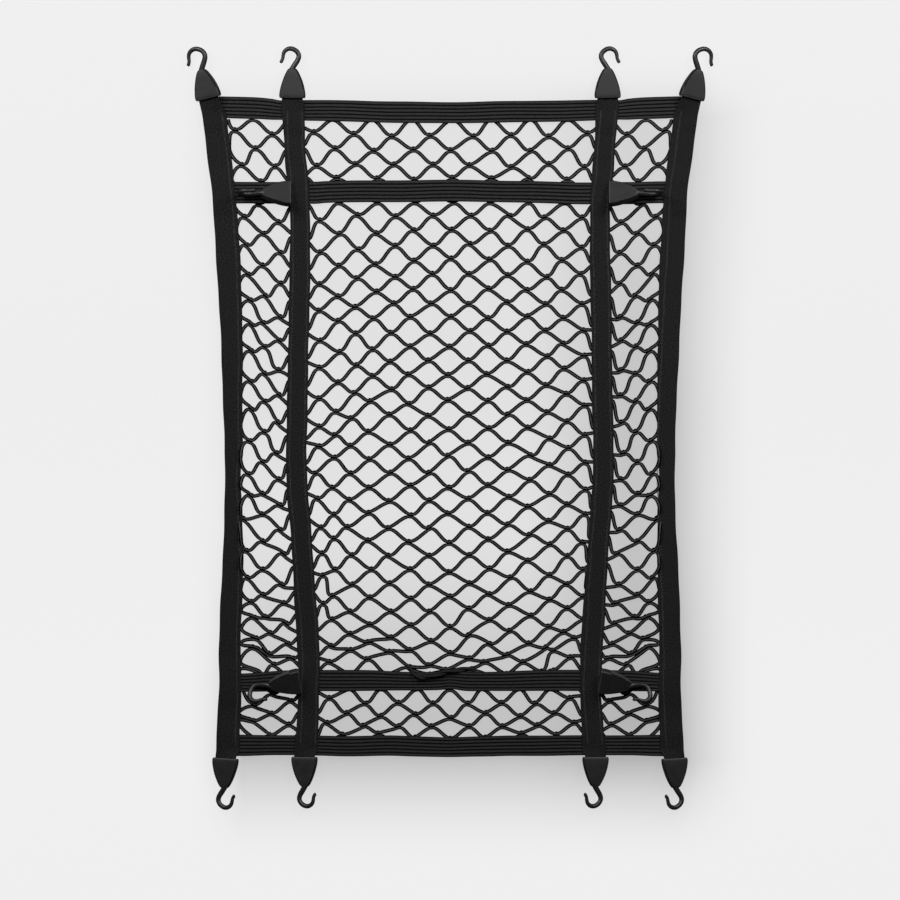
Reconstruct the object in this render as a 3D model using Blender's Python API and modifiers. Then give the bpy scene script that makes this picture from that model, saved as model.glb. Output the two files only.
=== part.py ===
"""A stretch cargo net with twelve hooks, lying flat and seen from above.

One net of round elastic cord runs under four ribbed elastic bands, which lie across it, and under
four webbing straps, which lie over the bands from top to bottom. Each strap ends in a moulded cap
with a hook at both ends, and each inner strap has two more hooks at its outer edge.

+Y is the top of the net, +X its right, +Z up. Everything below is in millimetres, and becomes
metres where a mesh is made. Straps, bands, side meshes and hooks are the same on both sides of the
middle, so they are described once, by their distance from it, and made for each side.
"""

import math
from collections import namedtuple

import bmesh
import bpy
from mathutils import Matrix, Vector

MM = 0.001
SIDES = {"left": -1, "right": 1}

# Thicknesses, and the air that two pieces keep between them.
GAP = 0.3
NET_THICKNESS = 4.6
BAND_BASE = 1.5
RIB_HEIGHT = 0.6
STRAP_THICKNESS = 1.8
BAND_UNDERSIDE = NET_THICKNESS + GAP
BAND_TOP = BAND_UNDERSIDE + BAND_BASE + RIB_HEIGHT
STRAP_ON_NET = BAND_UNDERSIDE + STRAP_THICKNESS / 2
STRAP_ON_BAND = BAND_TOP + GAP + STRAP_THICKNESS / 2

# Webbing straps: the two edges' distances from the middle, at each height.
StrapRow = namedtuple("StrapRow", "height near far")
OUTER_STRAP = (
    StrapRow(519, 372, 412),
    StrapRow(463, 365, 405),
    StrapRow(396, 357, 396),
    StrapRow(330, 352, 392),
    StrapRow(230, 347, 386),
    StrapRow(130, 345, 381),
    StrapRow(30, 345, 377),
    StrapRow(-37, 344, 375),
    StrapRow(-70, 348, 374),
    StrapRow(-137, 346, 375),
    StrapRow(-203, 344, 378),
    StrapRow(-370, 348, 385),
    StrapRow(-436, 347, 384),
    StrapRow(-503, 349, 388),
    StrapRow(-536, 350, 389),
)
INNER_STRAP = (
    StrapRow(528, 242, 280),
    StrapRow(463, 240, 275),
    StrapRow(430, 237, 273),
    StrapRow(386, 234, 267),
    StrapRow(296, 232, 267),
    StrapRow(163, 235, 269),
    StrapRow(30, 237, 271),
    StrapRow(-37, 238, 273),
    StrapRow(-103, 236, 272),
    StrapRow(-170, 231, 266),
    StrapRow(-270, 224, 260),
    StrapRow(-370, 217, 254),
    StrapRow(-436, 217, 252),
    StrapRow(-503, 219, 256),
    StrapRow(-536, 220, 259),
)
STRAP_STEP = 60
STRAP_END_WIDTH = 35
STRAP_END_MOUTH = 1.5
STRAP_END_DEPTH = 6

# A strap is at a band's level from a little before the band, and climbs to it over this length.
BAND_EDGE_ROOM = 3
CLIMB_LENGTH = 24

# Ribbed bands: the heights of the two edges, at each distance from the middle.
BandRow = namedtuple("BandRow", "off_middle lower upper")
BANDS = {
    "band_top": (
        BandRow(0, 509, 542),
        BandRow(74, 509, 544),
        BandRow(124, 510, 545),
        BandRow(224, 513, 547),
        BandRow(299, 515, 549),
        BandRow(385, 517, 551),
    ),
    "band_upper": (
        BandRow(0, 378, 413),
        BandRow(74, 377, 413),
        BandRow(199, 376, 412),
        BandRow(352, 374, 411),
        BandRow(385, 374, 411),
    ),
    "band_lower": (
        BandRow(0, -436, -405),
        BandRow(130, -437, -404),
        BandRow(216, -437, -403),
        BandRow(350, -438, -409),
        BandRow(376, -438, -409),
    ),
    "band_bottom": (
        BandRow(0, -547, -515),
        BandRow(32, -547, -515),
        BandRow(83, -545, -512),
        BandRow(133, -544, -513),
        BandRow(232, -545, -513),
        BandRow(376, -544, -511),
    ),
}
RIBS = 6
BAND_SPANS = 14

# The net: half rows of joints from top to bottom, and the heights of the cord where each counted
# half row crosses these columns. Columns are counted in full meshes from the middle.
NetRow = namedtuple("NetRow", "half_row side_outer side_inner left centre right")
NET_ROWS = (
    NetRow(0, 518, 518, 518, 518, 518),
    NetRow(3, 437, 435, 436, 438, 434),
    NetRow(7, 351, 342, 345, 353, 350),
    NetRow(11, 255, 240, 239, 256, 256),
    NetRow(15, 171, 145, 145, 159, 162),
    NetRow(19, 77, 54, 49, 67, 79),
    NetRow(23, -22, -42, -31, -25, -12),
    NetRow(27, -113, -129, -118, -119, -103),
    NetRow(31, -205, -210, -209, -213, -191),
    NetRow(35, -290, -292, -293, -304, -281),
    NetRow(39, -351, -360, -353, -389, -350),
    NetRow(45, -462, -455, -450, -459, -450),
    NetRow(49, -530, -530, -530, -530, -530),
)
NET_COLUMNS = {"side_outer": 5.5, "side_inner": 4.5, "left": -3.5, "centre": 0, "right": 3.5}
HALF_ROWS = 49
OUTER_COLUMN = 6
INNER_COLUMN = 4
MESHES_ACROSS = 8
MESHES_DOWN = 15

# A joint, where two cords lie bonded side by side: half its top and bottom flats, half its length
# along the cords, and half its width across them.
JOINT_FLAT = 2.9
JOINT_REACH = 6.2
JOINT_HALF_WIDTH = 5.2
SELVEDGE = 4.0

# A cap from the hook's end to the strap's: sections of a flat oval that gets squarer.
CapSection = namedtuple("CapSection", "from_neck width thickness squareness")
CAP_OUTSIDE = (
    CapSection(0, 11, 9, 2.0),
    CapSection(4, 21, 12, 2.4),
    CapSection(12, 28, 13, 2.8),
    CapSection(24, 36, 14, 3.2),
    CapSection(38, 42, 15, 3.6),
    CapSection(44.5, 42.5, 15, 3.6),
    CapSection(47, 40.5, 12.5, 3.6),
)
CAP_POCKET = (
    CapSection(47, 38, 4.2, 8),
    CapSection(33, 38, 4.2, 8),
)
CAP_LENGTH = 47
POCKET_LIFT = 0.4
CAP_SIDES = 12

# The hook's centre line in its own plane, from the cap: out to the shoulder, round and back.
HookPoint = namedtuple("HookPoint", "sideways outward radius")
HOOK = (
    HookPoint(0.0, 0.35, 4.3),
    HookPoint(0.0, 1.8, 4.3),
    HookPoint(1.6, 4.6, 4.3),
    HookPoint(5.4, 9.4, 4.1),
    HookPoint(8.6, 14.6, 3.8),
    HookPoint(9.8, 20.2, 3.6),
    HookPoint(7.9, 26.0, 3.5),
    HookPoint(3.0, 30.6, 3.4),
    HookPoint(-3.6, 33.0, 3.3),
    HookPoint(-9.9, 31.8, 3.1),
    HookPoint(-14.6, 27.6, 2.9),
    HookPoint(-16.4, 21.8, 2.8),
    HookPoint(-17.0, 17.0, 2.9),
    HookPoint(-19.0, 12.8, 3.1),
    HookPoint(-20.0, 10.7, 1.9),
)
SWING_START = 2.0
SWING_LENGTH = 8.0

# Where each hook's cap ends and how it lies. x and y are the strap's end of the cap, on the left
# side; heading turns it left from pointing up the net, pitch lifts the hook's end, roll lowers the
# cap's right edge, swing and turn are the hook's own turns in its cap, in its plane and about it.
HookPlace = namedtuple("HookPlace", "x y z heading pitch roll swing turn")
HOOK_PLACES = {
    "outer_top": HookPlace(-401.6, 549.4, 12.6, 13, 0, -14, 0, 0),
    "inner_top": HookPlace(-261.2, 550.6, 8.2, -1, 0, 0, 0, 0),
    "upper_side": HookPlace(-271.4, 390.5, 15.2, 84, 5.5, 5, 0, 85),
    "lower_side": HookPlace(-254.9, -423.4, 17.0, 94, -1, -10, 26, 0),
    "outer_bottom": HookPlace(-373.6, -550.9, 9.2, 177, 0, 4, 0, 22),
    "inner_bottom": HookPlace(-241.0, -548.8, 9.0, 180, 0, 3, 0, 22),
}
STRAP_ENDS = {
    "outer": (OUTER_STRAP, "outer_top", "outer_bottom"),
    "inner": (INNER_STRAP, "inner_top", "inner_bottom"),
}

# An edge between two faces that turn further than this stays sharp when they are shaded.
SHARP_ANGLE = 40

Finish = namedtuple("Finish", "colour roughness")
FINISHES = {
    "elastic_cord": Finish((0.030, 0.030, 0.031), 0.75),
    "ribbed_elastic": Finish((0.018, 0.018, 0.019), 0.80),
    "webbing": Finish((0.015, 0.015, 0.016), 0.85),
    "moulded_plastic": Finish((0.032, 0.032, 0.033), 0.42),
}


def smooth_value(rows, along, value, at):
    """The value of a table at a place between its rows, on a smooth curve through them all."""
    rows = sorted(rows, key=lambda row: getattr(row, along))
    places = [getattr(row, along) for row in rows]
    values = [getattr(row, value) for row in rows]
    at = min(max(at, places[0]), places[-1])
    after = next(i for i in range(1, len(places)) if at <= places[i] or i == len(places) - 1)
    slopes = []
    for i in (after - 1, after):
        low, high = max(i - 1, 0), min(i + 1, len(places) - 1)
        slopes.append((values[high] - values[low]) / (places[high] - places[low]))
    span = places[after] - places[after - 1]
    t = (at - places[after - 1]) / span
    bend_in = t * (1 - t) ** 2 * span * slopes[0]
    bend_out = t * t * (1 - t) * span * slopes[1]
    ease = t * t * (3 - 2 * t)
    return values[after - 1] * (1 - ease) + values[after] * ease + bend_in - bend_out


def material(name):
    """The named finish as a Principled BSDF."""
    found = bpy.data.materials.get(name)
    if found:
        return found
    finish = FINISHES[name]
    found = bpy.data.materials.new(name)
    found.use_nodes = True
    shader = found.node_tree.nodes["Principled BSDF"]
    shader.inputs["Base Color"].default_value = (*finish.colour, 1)
    shader.inputs["Roughness"].default_value = finish.roughness
    shader.inputs["Metallic"].default_value = 0
    found.diffuse_color = (*finish.colour, 1)
    return found


def add_object(name, data, finish, collection):
    """Put a mesh or a curve in the scene under its own name, with its finish."""
    piece = bpy.data.objects.new(name, data)
    data.materials.append(material(finish))
    collection.objects.link(piece)
    return piece


def mesh_from(name, shape):
    """A mesh in metres from a bmesh in millimetres, with its faces pointing one way."""
    bmesh.ops.recalc_face_normals(shape, faces=shape.faces)
    bmesh.ops.scale(shape, vec=(MM, MM, MM), verts=shape.verts)
    mesh = bpy.data.meshes.new(name)
    shape.to_mesh(mesh)
    shape.free()
    mesh.shade_smooth()
    mesh.set_sharp_from_angle(angle=math.radians(SHARP_ANGLE))
    return mesh


def add_solidify(piece, thickness):
    """Give an open sheet its thickness, half of it on each side."""
    wall = piece.modifiers.new("Thickness", "SOLIDIFY")
    wall.thickness = thickness * MM
    wall.offset = 0


def loft(name, rings):
    """A closed skin over rings that all have the same number of points."""
    shape = bmesh.new()
    rings = [[shape.verts.new(point) for point in ring] for ring in rings]
    for ring, following in zip(rings, rings[1:]):
        for i, corner in enumerate(ring):
            beside = (i + 1) % len(ring)
            shape.faces.new((corner, ring[beside], following[beside], following[i]))
    shape.faces.new(rings[0])
    shape.faces.new(rings[-1])
    return mesh_from(name, shape)


def over_band(height, off_middle):
    """How far a strap has climbed from the net onto a band at this height: 0 to 1."""
    climb = 0.0
    for rows in BANDS.values():
        lower = smooth_value(rows, "off_middle", "lower", off_middle) - BAND_EDGE_ROOM
        upper = smooth_value(rows, "off_middle", "upper", off_middle) + BAND_EDGE_ROOM
        away = max(lower - height, height - upper, 0)
        climb = max(climb, 1 - min(away / CLIMB_LENGTH, 1))
    return climb * climb * (3 - 2 * climb)


def place_matrix(place, side):
    """Where a cap's strap end lies and how it is turned, for one side of the net."""
    return (
        Matrix.Translation((-side * place.x, place.y, place.z))
        @ Matrix.Rotation(math.radians(-side * place.heading), 4, "Z")
        @ Matrix.Rotation(math.radians(place.pitch), 4, "X")
        @ Matrix.Rotation(math.radians(-side * place.roll), 4, "Y")
    )


def strap_heights(rows):
    """The heights at which a strap gets a section: evenly, and closely round each band."""
    top, bottom = rows[0].height, rows[-1].height
    count = round((top - bottom) / STRAP_STEP)
    heights = {top + (bottom - top) * i / count for i in range(count + 1)}
    for band in BANDS.values():
        lower = smooth_value(band, "off_middle", "lower", rows[0].near) - BAND_EDGE_ROOM
        upper = smooth_value(band, "off_middle", "upper", rows[0].near) + BAND_EDGE_ROOM
        for near_band in (lower - CLIMB_LENGTH, lower, upper, upper + CLIMB_LENGTH):
            if bottom < near_band < top:
                heights = {h for h in heights if abs(h - near_band) > CLIMB_LENGTH / 2}
                heights.add(near_band)
    return sorted(heights, reverse=True)


def strap_end(place, side):
    """The last two sections of a strap, at the mouth of its cap and inside its pocket."""
    turn = place_matrix(place, side)
    sections = []
    for depth in (-STRAP_END_MOUTH, STRAP_END_DEPTH):
        corners = (side * STRAP_END_WIDTH / 2, -side * STRAP_END_WIDTH / 2)
        ends = [turn @ Vector((across, depth, POCKET_LIFT)) for across in corners]
        sections.append(sorted(ends, key=lambda point: side * point.x, reverse=True))
    return sections


def make_strap(kind, side_name, collection):
    """One webbing strap: a ribbon that lies on the net and climbs over the bands."""
    rows, top_end, bottom_end = STRAP_ENDS[kind]
    side = SIDES[side_name]
    sections = list(reversed(strap_end(HOOK_PLACES[top_end], side)))
    for height in strap_heights(rows):
        near = smooth_value(rows, "height", "near", height)
        far = smooth_value(rows, "height", "far", height)
        lift = STRAP_ON_NET + (STRAP_ON_BAND - STRAP_ON_NET) * over_band(height, (near + far) / 2)
        sections.append([Vector((side * far, height, lift)), Vector((side * near, height, lift))])
    sections += strap_end(HOOK_PLACES[bottom_end], side)

    shape = bmesh.new()
    edges = [[shape.verts.new(point) for point in section] for section in sections]
    for (far_a, near_a), (far_b, near_b) in zip(edges, edges[1:]):
        shape.faces.new((far_a, near_a, near_b, far_b))
    name = f"strap_{kind}_{side_name}"
    strap = add_object(name, mesh_from(name, shape), "webbing", collection)
    add_solidify(strap, STRAP_THICKNESS)


def make_band(name, collection):
    """One ribbed elastic band across the whole net."""
    rows = BANDS[name]
    reach = rows[-1].off_middle
    rings = []
    for i in range(BAND_SPANS + 1):
        x = -reach + 2 * reach * i / BAND_SPANS
        lower = smooth_value(rows, "off_middle", "lower", abs(x))
        upper = smooth_value(rows, "off_middle", "upper", abs(x))
        ring = [Vector((x, upper, BAND_UNDERSIDE)), Vector((x, lower, BAND_UNDERSIDE))]
        for step in range(2 * RIBS + 1):
            across = lower + (upper - lower) * step / (2 * RIBS)
            crest = RIB_HEIGHT if step % 2 else 0
            ring.append(Vector((x, across, BAND_UNDERSIDE + BAND_BASE + crest)))
        rings.append(ring)
    add_object(name, loft(name, rings), "ribbed_elastic", collection)


def column_x(column, height):
    """How far right a column of the net lies, from the straps that hold it."""
    away = abs(column)
    inner = smooth_value(INNER_STRAP, "height", "near", height)
    inner = (inner + smooth_value(INNER_STRAP, "height", "far", height)) / 2
    outer = smooth_value(OUTER_STRAP, "height", "near", height)
    outer = (outer + smooth_value(OUTER_STRAP, "height", "far", height)) / 2
    if away <= INNER_COLUMN:
        return math.copysign(inner * away / INNER_COLUMN, column)
    share = (away - INNER_COLUMN) / (OUTER_COLUMN - INNER_COLUMN)
    return math.copysign(inner + (outer - inner) * share, column)


def row_height(column, half_row):
    """How high a half row of the net lies at a column, from the net's own table."""
    stations = {}
    for name, at in NET_COLUMNS.items():
        stations[at] = smooth_value(NET_ROWS, "half_row", name, half_row)
        if name.startswith("side"):
            stations[-at] = stations[at]
    places = sorted(stations)
    column = min(max(column, places[0]), places[-1])
    right = next(place for place in places if column <= place)
    if right == column:
        return stations[right]
    left = places[places.index(right) - 1]
    share = (column - left) / (right - left)
    return stations[left] * (1 - share) + stations[right] * share


def joint_corners(row, column):
    """The corners of one joint round its centre, by name: squared off at the net's own edges."""
    corners = {
        "north_west": (-JOINT_FLAT, JOINT_HALF_WIDTH),
        "north_east": (JOINT_FLAT, JOINT_HALF_WIDTH),
        "east": (JOINT_REACH, 0),
        "south_east": (JOINT_FLAT, -JOINT_HALF_WIDTH),
        "south_west": (-JOINT_FLAT, -JOINT_HALF_WIDTH),
        "west": (-JOINT_REACH, 0),
    }
    half = MESHES_ACROSS / 2
    if column == -half:
        corners["north_west"] = (-SELVEDGE, JOINT_HALF_WIDTH)
        corners["south_west"] = (-SELVEDGE, -JOINT_HALF_WIDTH)
        del corners["west"]
    if column == half:
        corners["north_east"] = (SELVEDGE, JOINT_HALF_WIDTH)
        corners["south_east"] = (SELVEDGE, -JOINT_HALF_WIDTH)
        del corners["east"]
    if row == 0:
        for name, across in (("north_west", -1), ("north_east", 1)):
            corners[name] = (across * (SELVEDGE if column * across == half else JOINT_REACH), SELVEDGE)
    if row == 2 * MESHES_DOWN:
        for name, across in (("south_west", -1), ("south_east", 1)):
            corners[name] = (across * (SELVEDGE if column * across == half else JOINT_REACH), -SELVEDGE)
    return corners


def add_joint(shape, row, column):
    """One joint of the net as a flat face. Returns its corner vertices by name."""
    net_column = column * 2 * OUTER_COLUMN / MESHES_ACROSS
    net_row = row * HALF_ROWS / (2 * MESHES_DOWN)
    y = row_height(net_column, net_row)
    x = column_x(net_column, y)
    corners = {
        name: shape.verts.new((x + dx, y + dy, NET_THICKNESS / 2))
        for name, (dx, dy) in joint_corners(row, column).items()
    }
    shape.faces.new(list(corners.values()))
    return corners


def bridge(shape, joints, first, start_names, second, end_names):
    """A strip of cord from an edge of one joint to an edge of another, where the net has both."""
    if second in joints:
        start = [joints[first][name] for name in start_names]
        end = [joints[second][name] for name in end_names]
        shape.faces.new(start + end)


def make_net(collection):
    """The whole net as one sheet: joints, the cords between them and a selvedge all round."""
    shape = bmesh.new()
    joints = {}
    for row in range(2 * MESHES_DOWN + 1):
        offset = 0.5 if row % 2 else 0
        for i in range(MESHES_ACROSS + 1 - row % 2):
            column = i + offset - MESHES_ACROSS / 2
            joints[row, column] = add_joint(shape, row, column)

    for row, column in joints:
        here = (row, column)
        right_below, left_below = (row + 1, column + 0.5), (row + 1, column - 0.5)
        bridge(shape, joints, here, ("east", "south_east"), right_below, ("west", "north_west"))
        bridge(shape, joints, here, ("south_west", "west"), left_below, ("north_east", "east"))
        if row in (0, 2 * MESHES_DOWN):
            rim = "north" if row == 0 else "south"
            beside = (row, column + 1)
            bridge(shape, joints, here, (f"{rim}_east", "east"), beside, ("west", f"{rim}_west"))
        if abs(column) == MESHES_ACROSS / 2:
            below = (row + 2, column)
            bridge(shape, joints, here, ("south_west", "south_east"), below, ("north_east", "north_west"))
    net = add_object("net", mesh_from("net", shape), "elastic_cord", collection)
    add_solidify(net, NET_THICKNESS)


def cap_ring(section, lift=0.0):
    """One oval of a cap, in the cap's own frame: its strap end at the origin, its hook along +Y."""
    ring = []
    power = 2 / section.squareness
    for i in range(CAP_SIDES):
        angle = math.tau * (i + 0.5) / CAP_SIDES
        across, up = math.cos(angle), math.sin(angle)
        across = math.copysign(abs(across) ** power, across) * section.width / 2
        up = math.copysign(abs(up) ** power, up) * section.thickness / 2
        ring.append(Vector((across, CAP_LENGTH - section.from_neck, up + lift)))
    return ring


def make_cap(place_name, side_name, collection):
    """One cap: a flattened bullet with a pocket for the strap."""
    rings = [cap_ring(section) for section in CAP_OUTSIDE]
    rings += [cap_ring(section, POCKET_LIFT) for section in CAP_POCKET]
    name = f"cap_{place_name}_{side_name}"
    cap = add_object(name, loft(name, rings), "moulded_plastic", collection)
    matrix = place_matrix(HOOK_PLACES[place_name], SIDES[side_name])
    matrix.translation *= MM
    cap.matrix_world = matrix


def make_hook(place_name, side_name, collection):
    """One hook: a tapered round bar on a smooth curve, its flat end against its cap."""
    place = HOOK_PLACES[place_name]
    side = SIDES[side_name]
    name = f"hook_{place_name}_{side_name}"
    curve = bpy.data.curves.new(name, "CURVE")
    curve.dimensions = "3D"
    curve.bevel_depth = MM
    curve.bevel_resolution = 2
    curve.use_fill_caps = True
    bar = curve.splines.new("POLY")
    bar.points.add(len(HOOK) - 1)
    turn = Matrix.Rotation(math.radians(-side * place.turn), 4, "Y")
    for at, point in zip(bar.points, HOOK):
        share = min(max(point.outward - SWING_START, 0) / SWING_LENGTH, 1)
        swung = -side * place.swing * share
        swing = Matrix.Rotation(math.radians(swung), 4, "Z")
        where = swing @ turn @ Vector((-side * point.sideways, point.outward, 0))
        at.co = (where.x * MM, (where.y + CAP_LENGTH) * MM, where.z * MM, 1)
        at.radius = point.radius
    hook = add_object(name, curve, "moulded_plastic", collection)
    matrix = place_matrix(place, side)
    matrix.translation *= MM
    hook.matrix_world = matrix


def main():
    """Clear the scene and make every piece of the net."""
    for old in list(bpy.data.objects):
        bpy.data.objects.remove(old)
    collection = bpy.data.collections.new("cargo_net")
    bpy.context.scene.collection.children.link(collection)
    make_net(collection)
    for name in BANDS:
        make_band(name, collection)
    for side_name in SIDES:
        for kind in STRAP_ENDS:
            make_strap(kind, side_name, collection)
        for place_name in HOOK_PLACES:
            make_cap(place_name, side_name, collection)
            make_hook(place_name, side_name, collection)


main()
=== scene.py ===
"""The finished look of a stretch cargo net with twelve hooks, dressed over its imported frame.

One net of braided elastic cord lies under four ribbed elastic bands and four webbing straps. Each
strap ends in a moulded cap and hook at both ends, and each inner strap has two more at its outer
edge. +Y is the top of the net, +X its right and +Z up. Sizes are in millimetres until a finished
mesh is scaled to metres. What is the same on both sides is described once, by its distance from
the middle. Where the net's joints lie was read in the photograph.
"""

import logging
import math
from collections.abc import Callable, Sequence
from dataclasses import dataclass, field
from enum import Enum
from typing import NamedTuple

import bmesh
import bpy
import numpy as np
from mathutils import Matrix, Vector


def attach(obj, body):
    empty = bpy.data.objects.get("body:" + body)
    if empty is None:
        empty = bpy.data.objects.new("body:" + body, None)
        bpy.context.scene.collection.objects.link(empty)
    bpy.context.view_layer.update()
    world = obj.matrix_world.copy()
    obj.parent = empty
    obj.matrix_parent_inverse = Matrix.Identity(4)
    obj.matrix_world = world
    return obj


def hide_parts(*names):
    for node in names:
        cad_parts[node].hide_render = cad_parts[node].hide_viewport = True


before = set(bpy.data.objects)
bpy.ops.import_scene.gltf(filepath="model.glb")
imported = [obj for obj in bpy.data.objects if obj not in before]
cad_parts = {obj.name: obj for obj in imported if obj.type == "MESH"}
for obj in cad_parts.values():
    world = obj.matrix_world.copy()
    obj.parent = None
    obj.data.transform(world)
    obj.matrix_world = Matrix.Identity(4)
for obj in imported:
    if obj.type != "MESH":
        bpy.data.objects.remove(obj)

LOG = logging.getLogger("cargo_net")
MM = 0.001
UP = np.array([0.0, 0.0, 1.0])
BODY = "root"

# The cord's oval and half its girth.
CORD_WIDTH = 6.4
CORD_HEIGHT = 4.6
# Levels over the surface that the net lies on, and the two thicknesses that go with them.
BAND_UNDERSIDE = 4.9
BAND_TOP = 7.0
RIB_HEIGHT = 0.6
STRAP_THICKNESS = 1.8
STRAP_ON_NET = 5.8
STRAP_ON_BAND = 8.2


class Side(Enum):
    """A side of the net, with the sign of its x."""

    LEFT = -1
    RIGHT = 1

    @property
    def word(self) -> str:
        """The side's word in the names of pieces."""
        return self.name.lower()


class Slot(Enum):
    """The record's material slots."""

    CORD = "elastic_cord"
    RIBBED = "ribbed_elastic"
    WEBBING = "webbing"
    PLASTIC = "moulded_plastic"


class StrapRow(NamedTuple):
    """A strap's two edges, by their distance from the middle, at one height."""

    height: float
    near: float
    far: float


class BandRow(NamedTuple):
    """A band's two edges, by their height, at one place along it."""

    x: float
    lower: float
    upper: float


class HalfRow(NamedTuple):
    """The joints of one half row, to the right and up from the net's middle.

    A side panel's are by their distance from the middle, the outermost first. The middle
    panel's go from left to right.
    """

    side: tuple[tuple[int, int], ...]
    middle: tuple[tuple[int, int], ...] = ()


OUTER_STRAP = (
    StrapRow(519, 372, 412),
    StrapRow(463, 365, 405),
    StrapRow(396, 357, 396),
    StrapRow(330, 352, 392),
    StrapRow(230, 347, 386),
    StrapRow(130, 345, 381),
    StrapRow(30, 345, 377),
    StrapRow(-37, 344, 375),
    StrapRow(-70, 348, 374),
    StrapRow(-137, 346, 375),
    StrapRow(-203, 344, 378),
    StrapRow(-370, 348, 385),
    StrapRow(-436, 347, 384),
    StrapRow(-503, 349, 388),
    StrapRow(-536, 350, 389),
)
INNER_STRAP = (
    StrapRow(528, 242, 280),
    StrapRow(463, 240, 275),
    StrapRow(430, 237, 273),
    StrapRow(386, 234, 267),
    StrapRow(296, 232, 267),
    StrapRow(163, 235, 269),
    StrapRow(30, 237, 271),
    StrapRow(-37, 238, 273),
    StrapRow(-103, 236, 272),
    StrapRow(-170, 231, 266),
    StrapRow(-270, 224, 260),
    StrapRow(-370, 217, 254),
    StrapRow(-436, 217, 252),
    StrapRow(-503, 219, 256),
    StrapRow(-536, 220, 259),
)


def both_sides(*rows: BandRow) -> tuple[BandRow, ...]:
    """A band's whole table, from the right half of one that is the same on both sides."""
    return tuple(row._replace(x=-row.x) for row in reversed(rows[1:])) + rows


BANDS = {
    "top": both_sides(
        BandRow(0, 507, 542),
        BandRow(74, 507.5, 543.5),
        BandRow(124, 508.5, 544),
        BandRow(167, 509.5, 545),
        BandRow(239, 511.5, 546),
        BandRow(282, 513, 545.5),
        BandRow(296, 513, 548),
        BandRow(316, 514, 550),
        BandRow(340, 514.5, 551),
        BandRow(385, 516, 552),
    ),
    "upper": (
        BandRow(-385, 373.5, 410.5),
        BandRow(-339, 373.5, 409.5),
        BandRow(-280, 372.5, 409),
        BandRow(-222, 373, 410),
        BandRow(-207, 374.5, 411),
        BandRow(-166, 375.5, 412),
        BandRow(-83, 376, 412.5),
        BandRow(-16, 376.5, 413),
        BandRow(34, 376.5, 413),
        BandRow(101, 375.5, 411.5),
        BandRow(134, 374.5, 411),
        BandRow(167, 373.5, 410),
        BandRow(217, 372, 408.5),
        BandRow(300, 372, 409),
        BandRow(342, 374, 410.5),
        BandRow(385, 374, 411),
    ),
    "lower": (
        BandRow(-376, -439, -408),
        BandRow(-339, -439, -408),
        BandRow(-280, -438.5, -404),
        BandRow(-207, -438, -402.5),
        BandRow(-141, -437.5, -402.5),
        BandRow(-83, -436.5, -405),
        BandRow(-49, -436.5, -405.5),
        BandRow(-16, -436, -405),
        BandRow(0, -434.5, -404.5),
        BandRow(28, -438, -406),
        BandRow(67, -437.5, -405.5),
        BandRow(134, -437.5, -403),
        BandRow(217, -438, -402.5),
        BandRow(300, -438.5, -404),
        BandRow(342, -438.5, -407),
        BandRow(376, -438.5, -408),
    ),
    "bottom": both_sides(
        BandRow(0, -547.5, -514.5),
        BandRow(34, -547, -513.5),
        BandRow(67, -546.5, -512.5),
        BandRow(101, -545.5, -511.5),
        BandRow(167, -546, -512),
        BandRow(217, -545, -511.5),
        BandRow(299, -544.5, -511),
        BandRow(340, -546, -510.5),
        BandRow(376, -546, -510),
    ),
}
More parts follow.
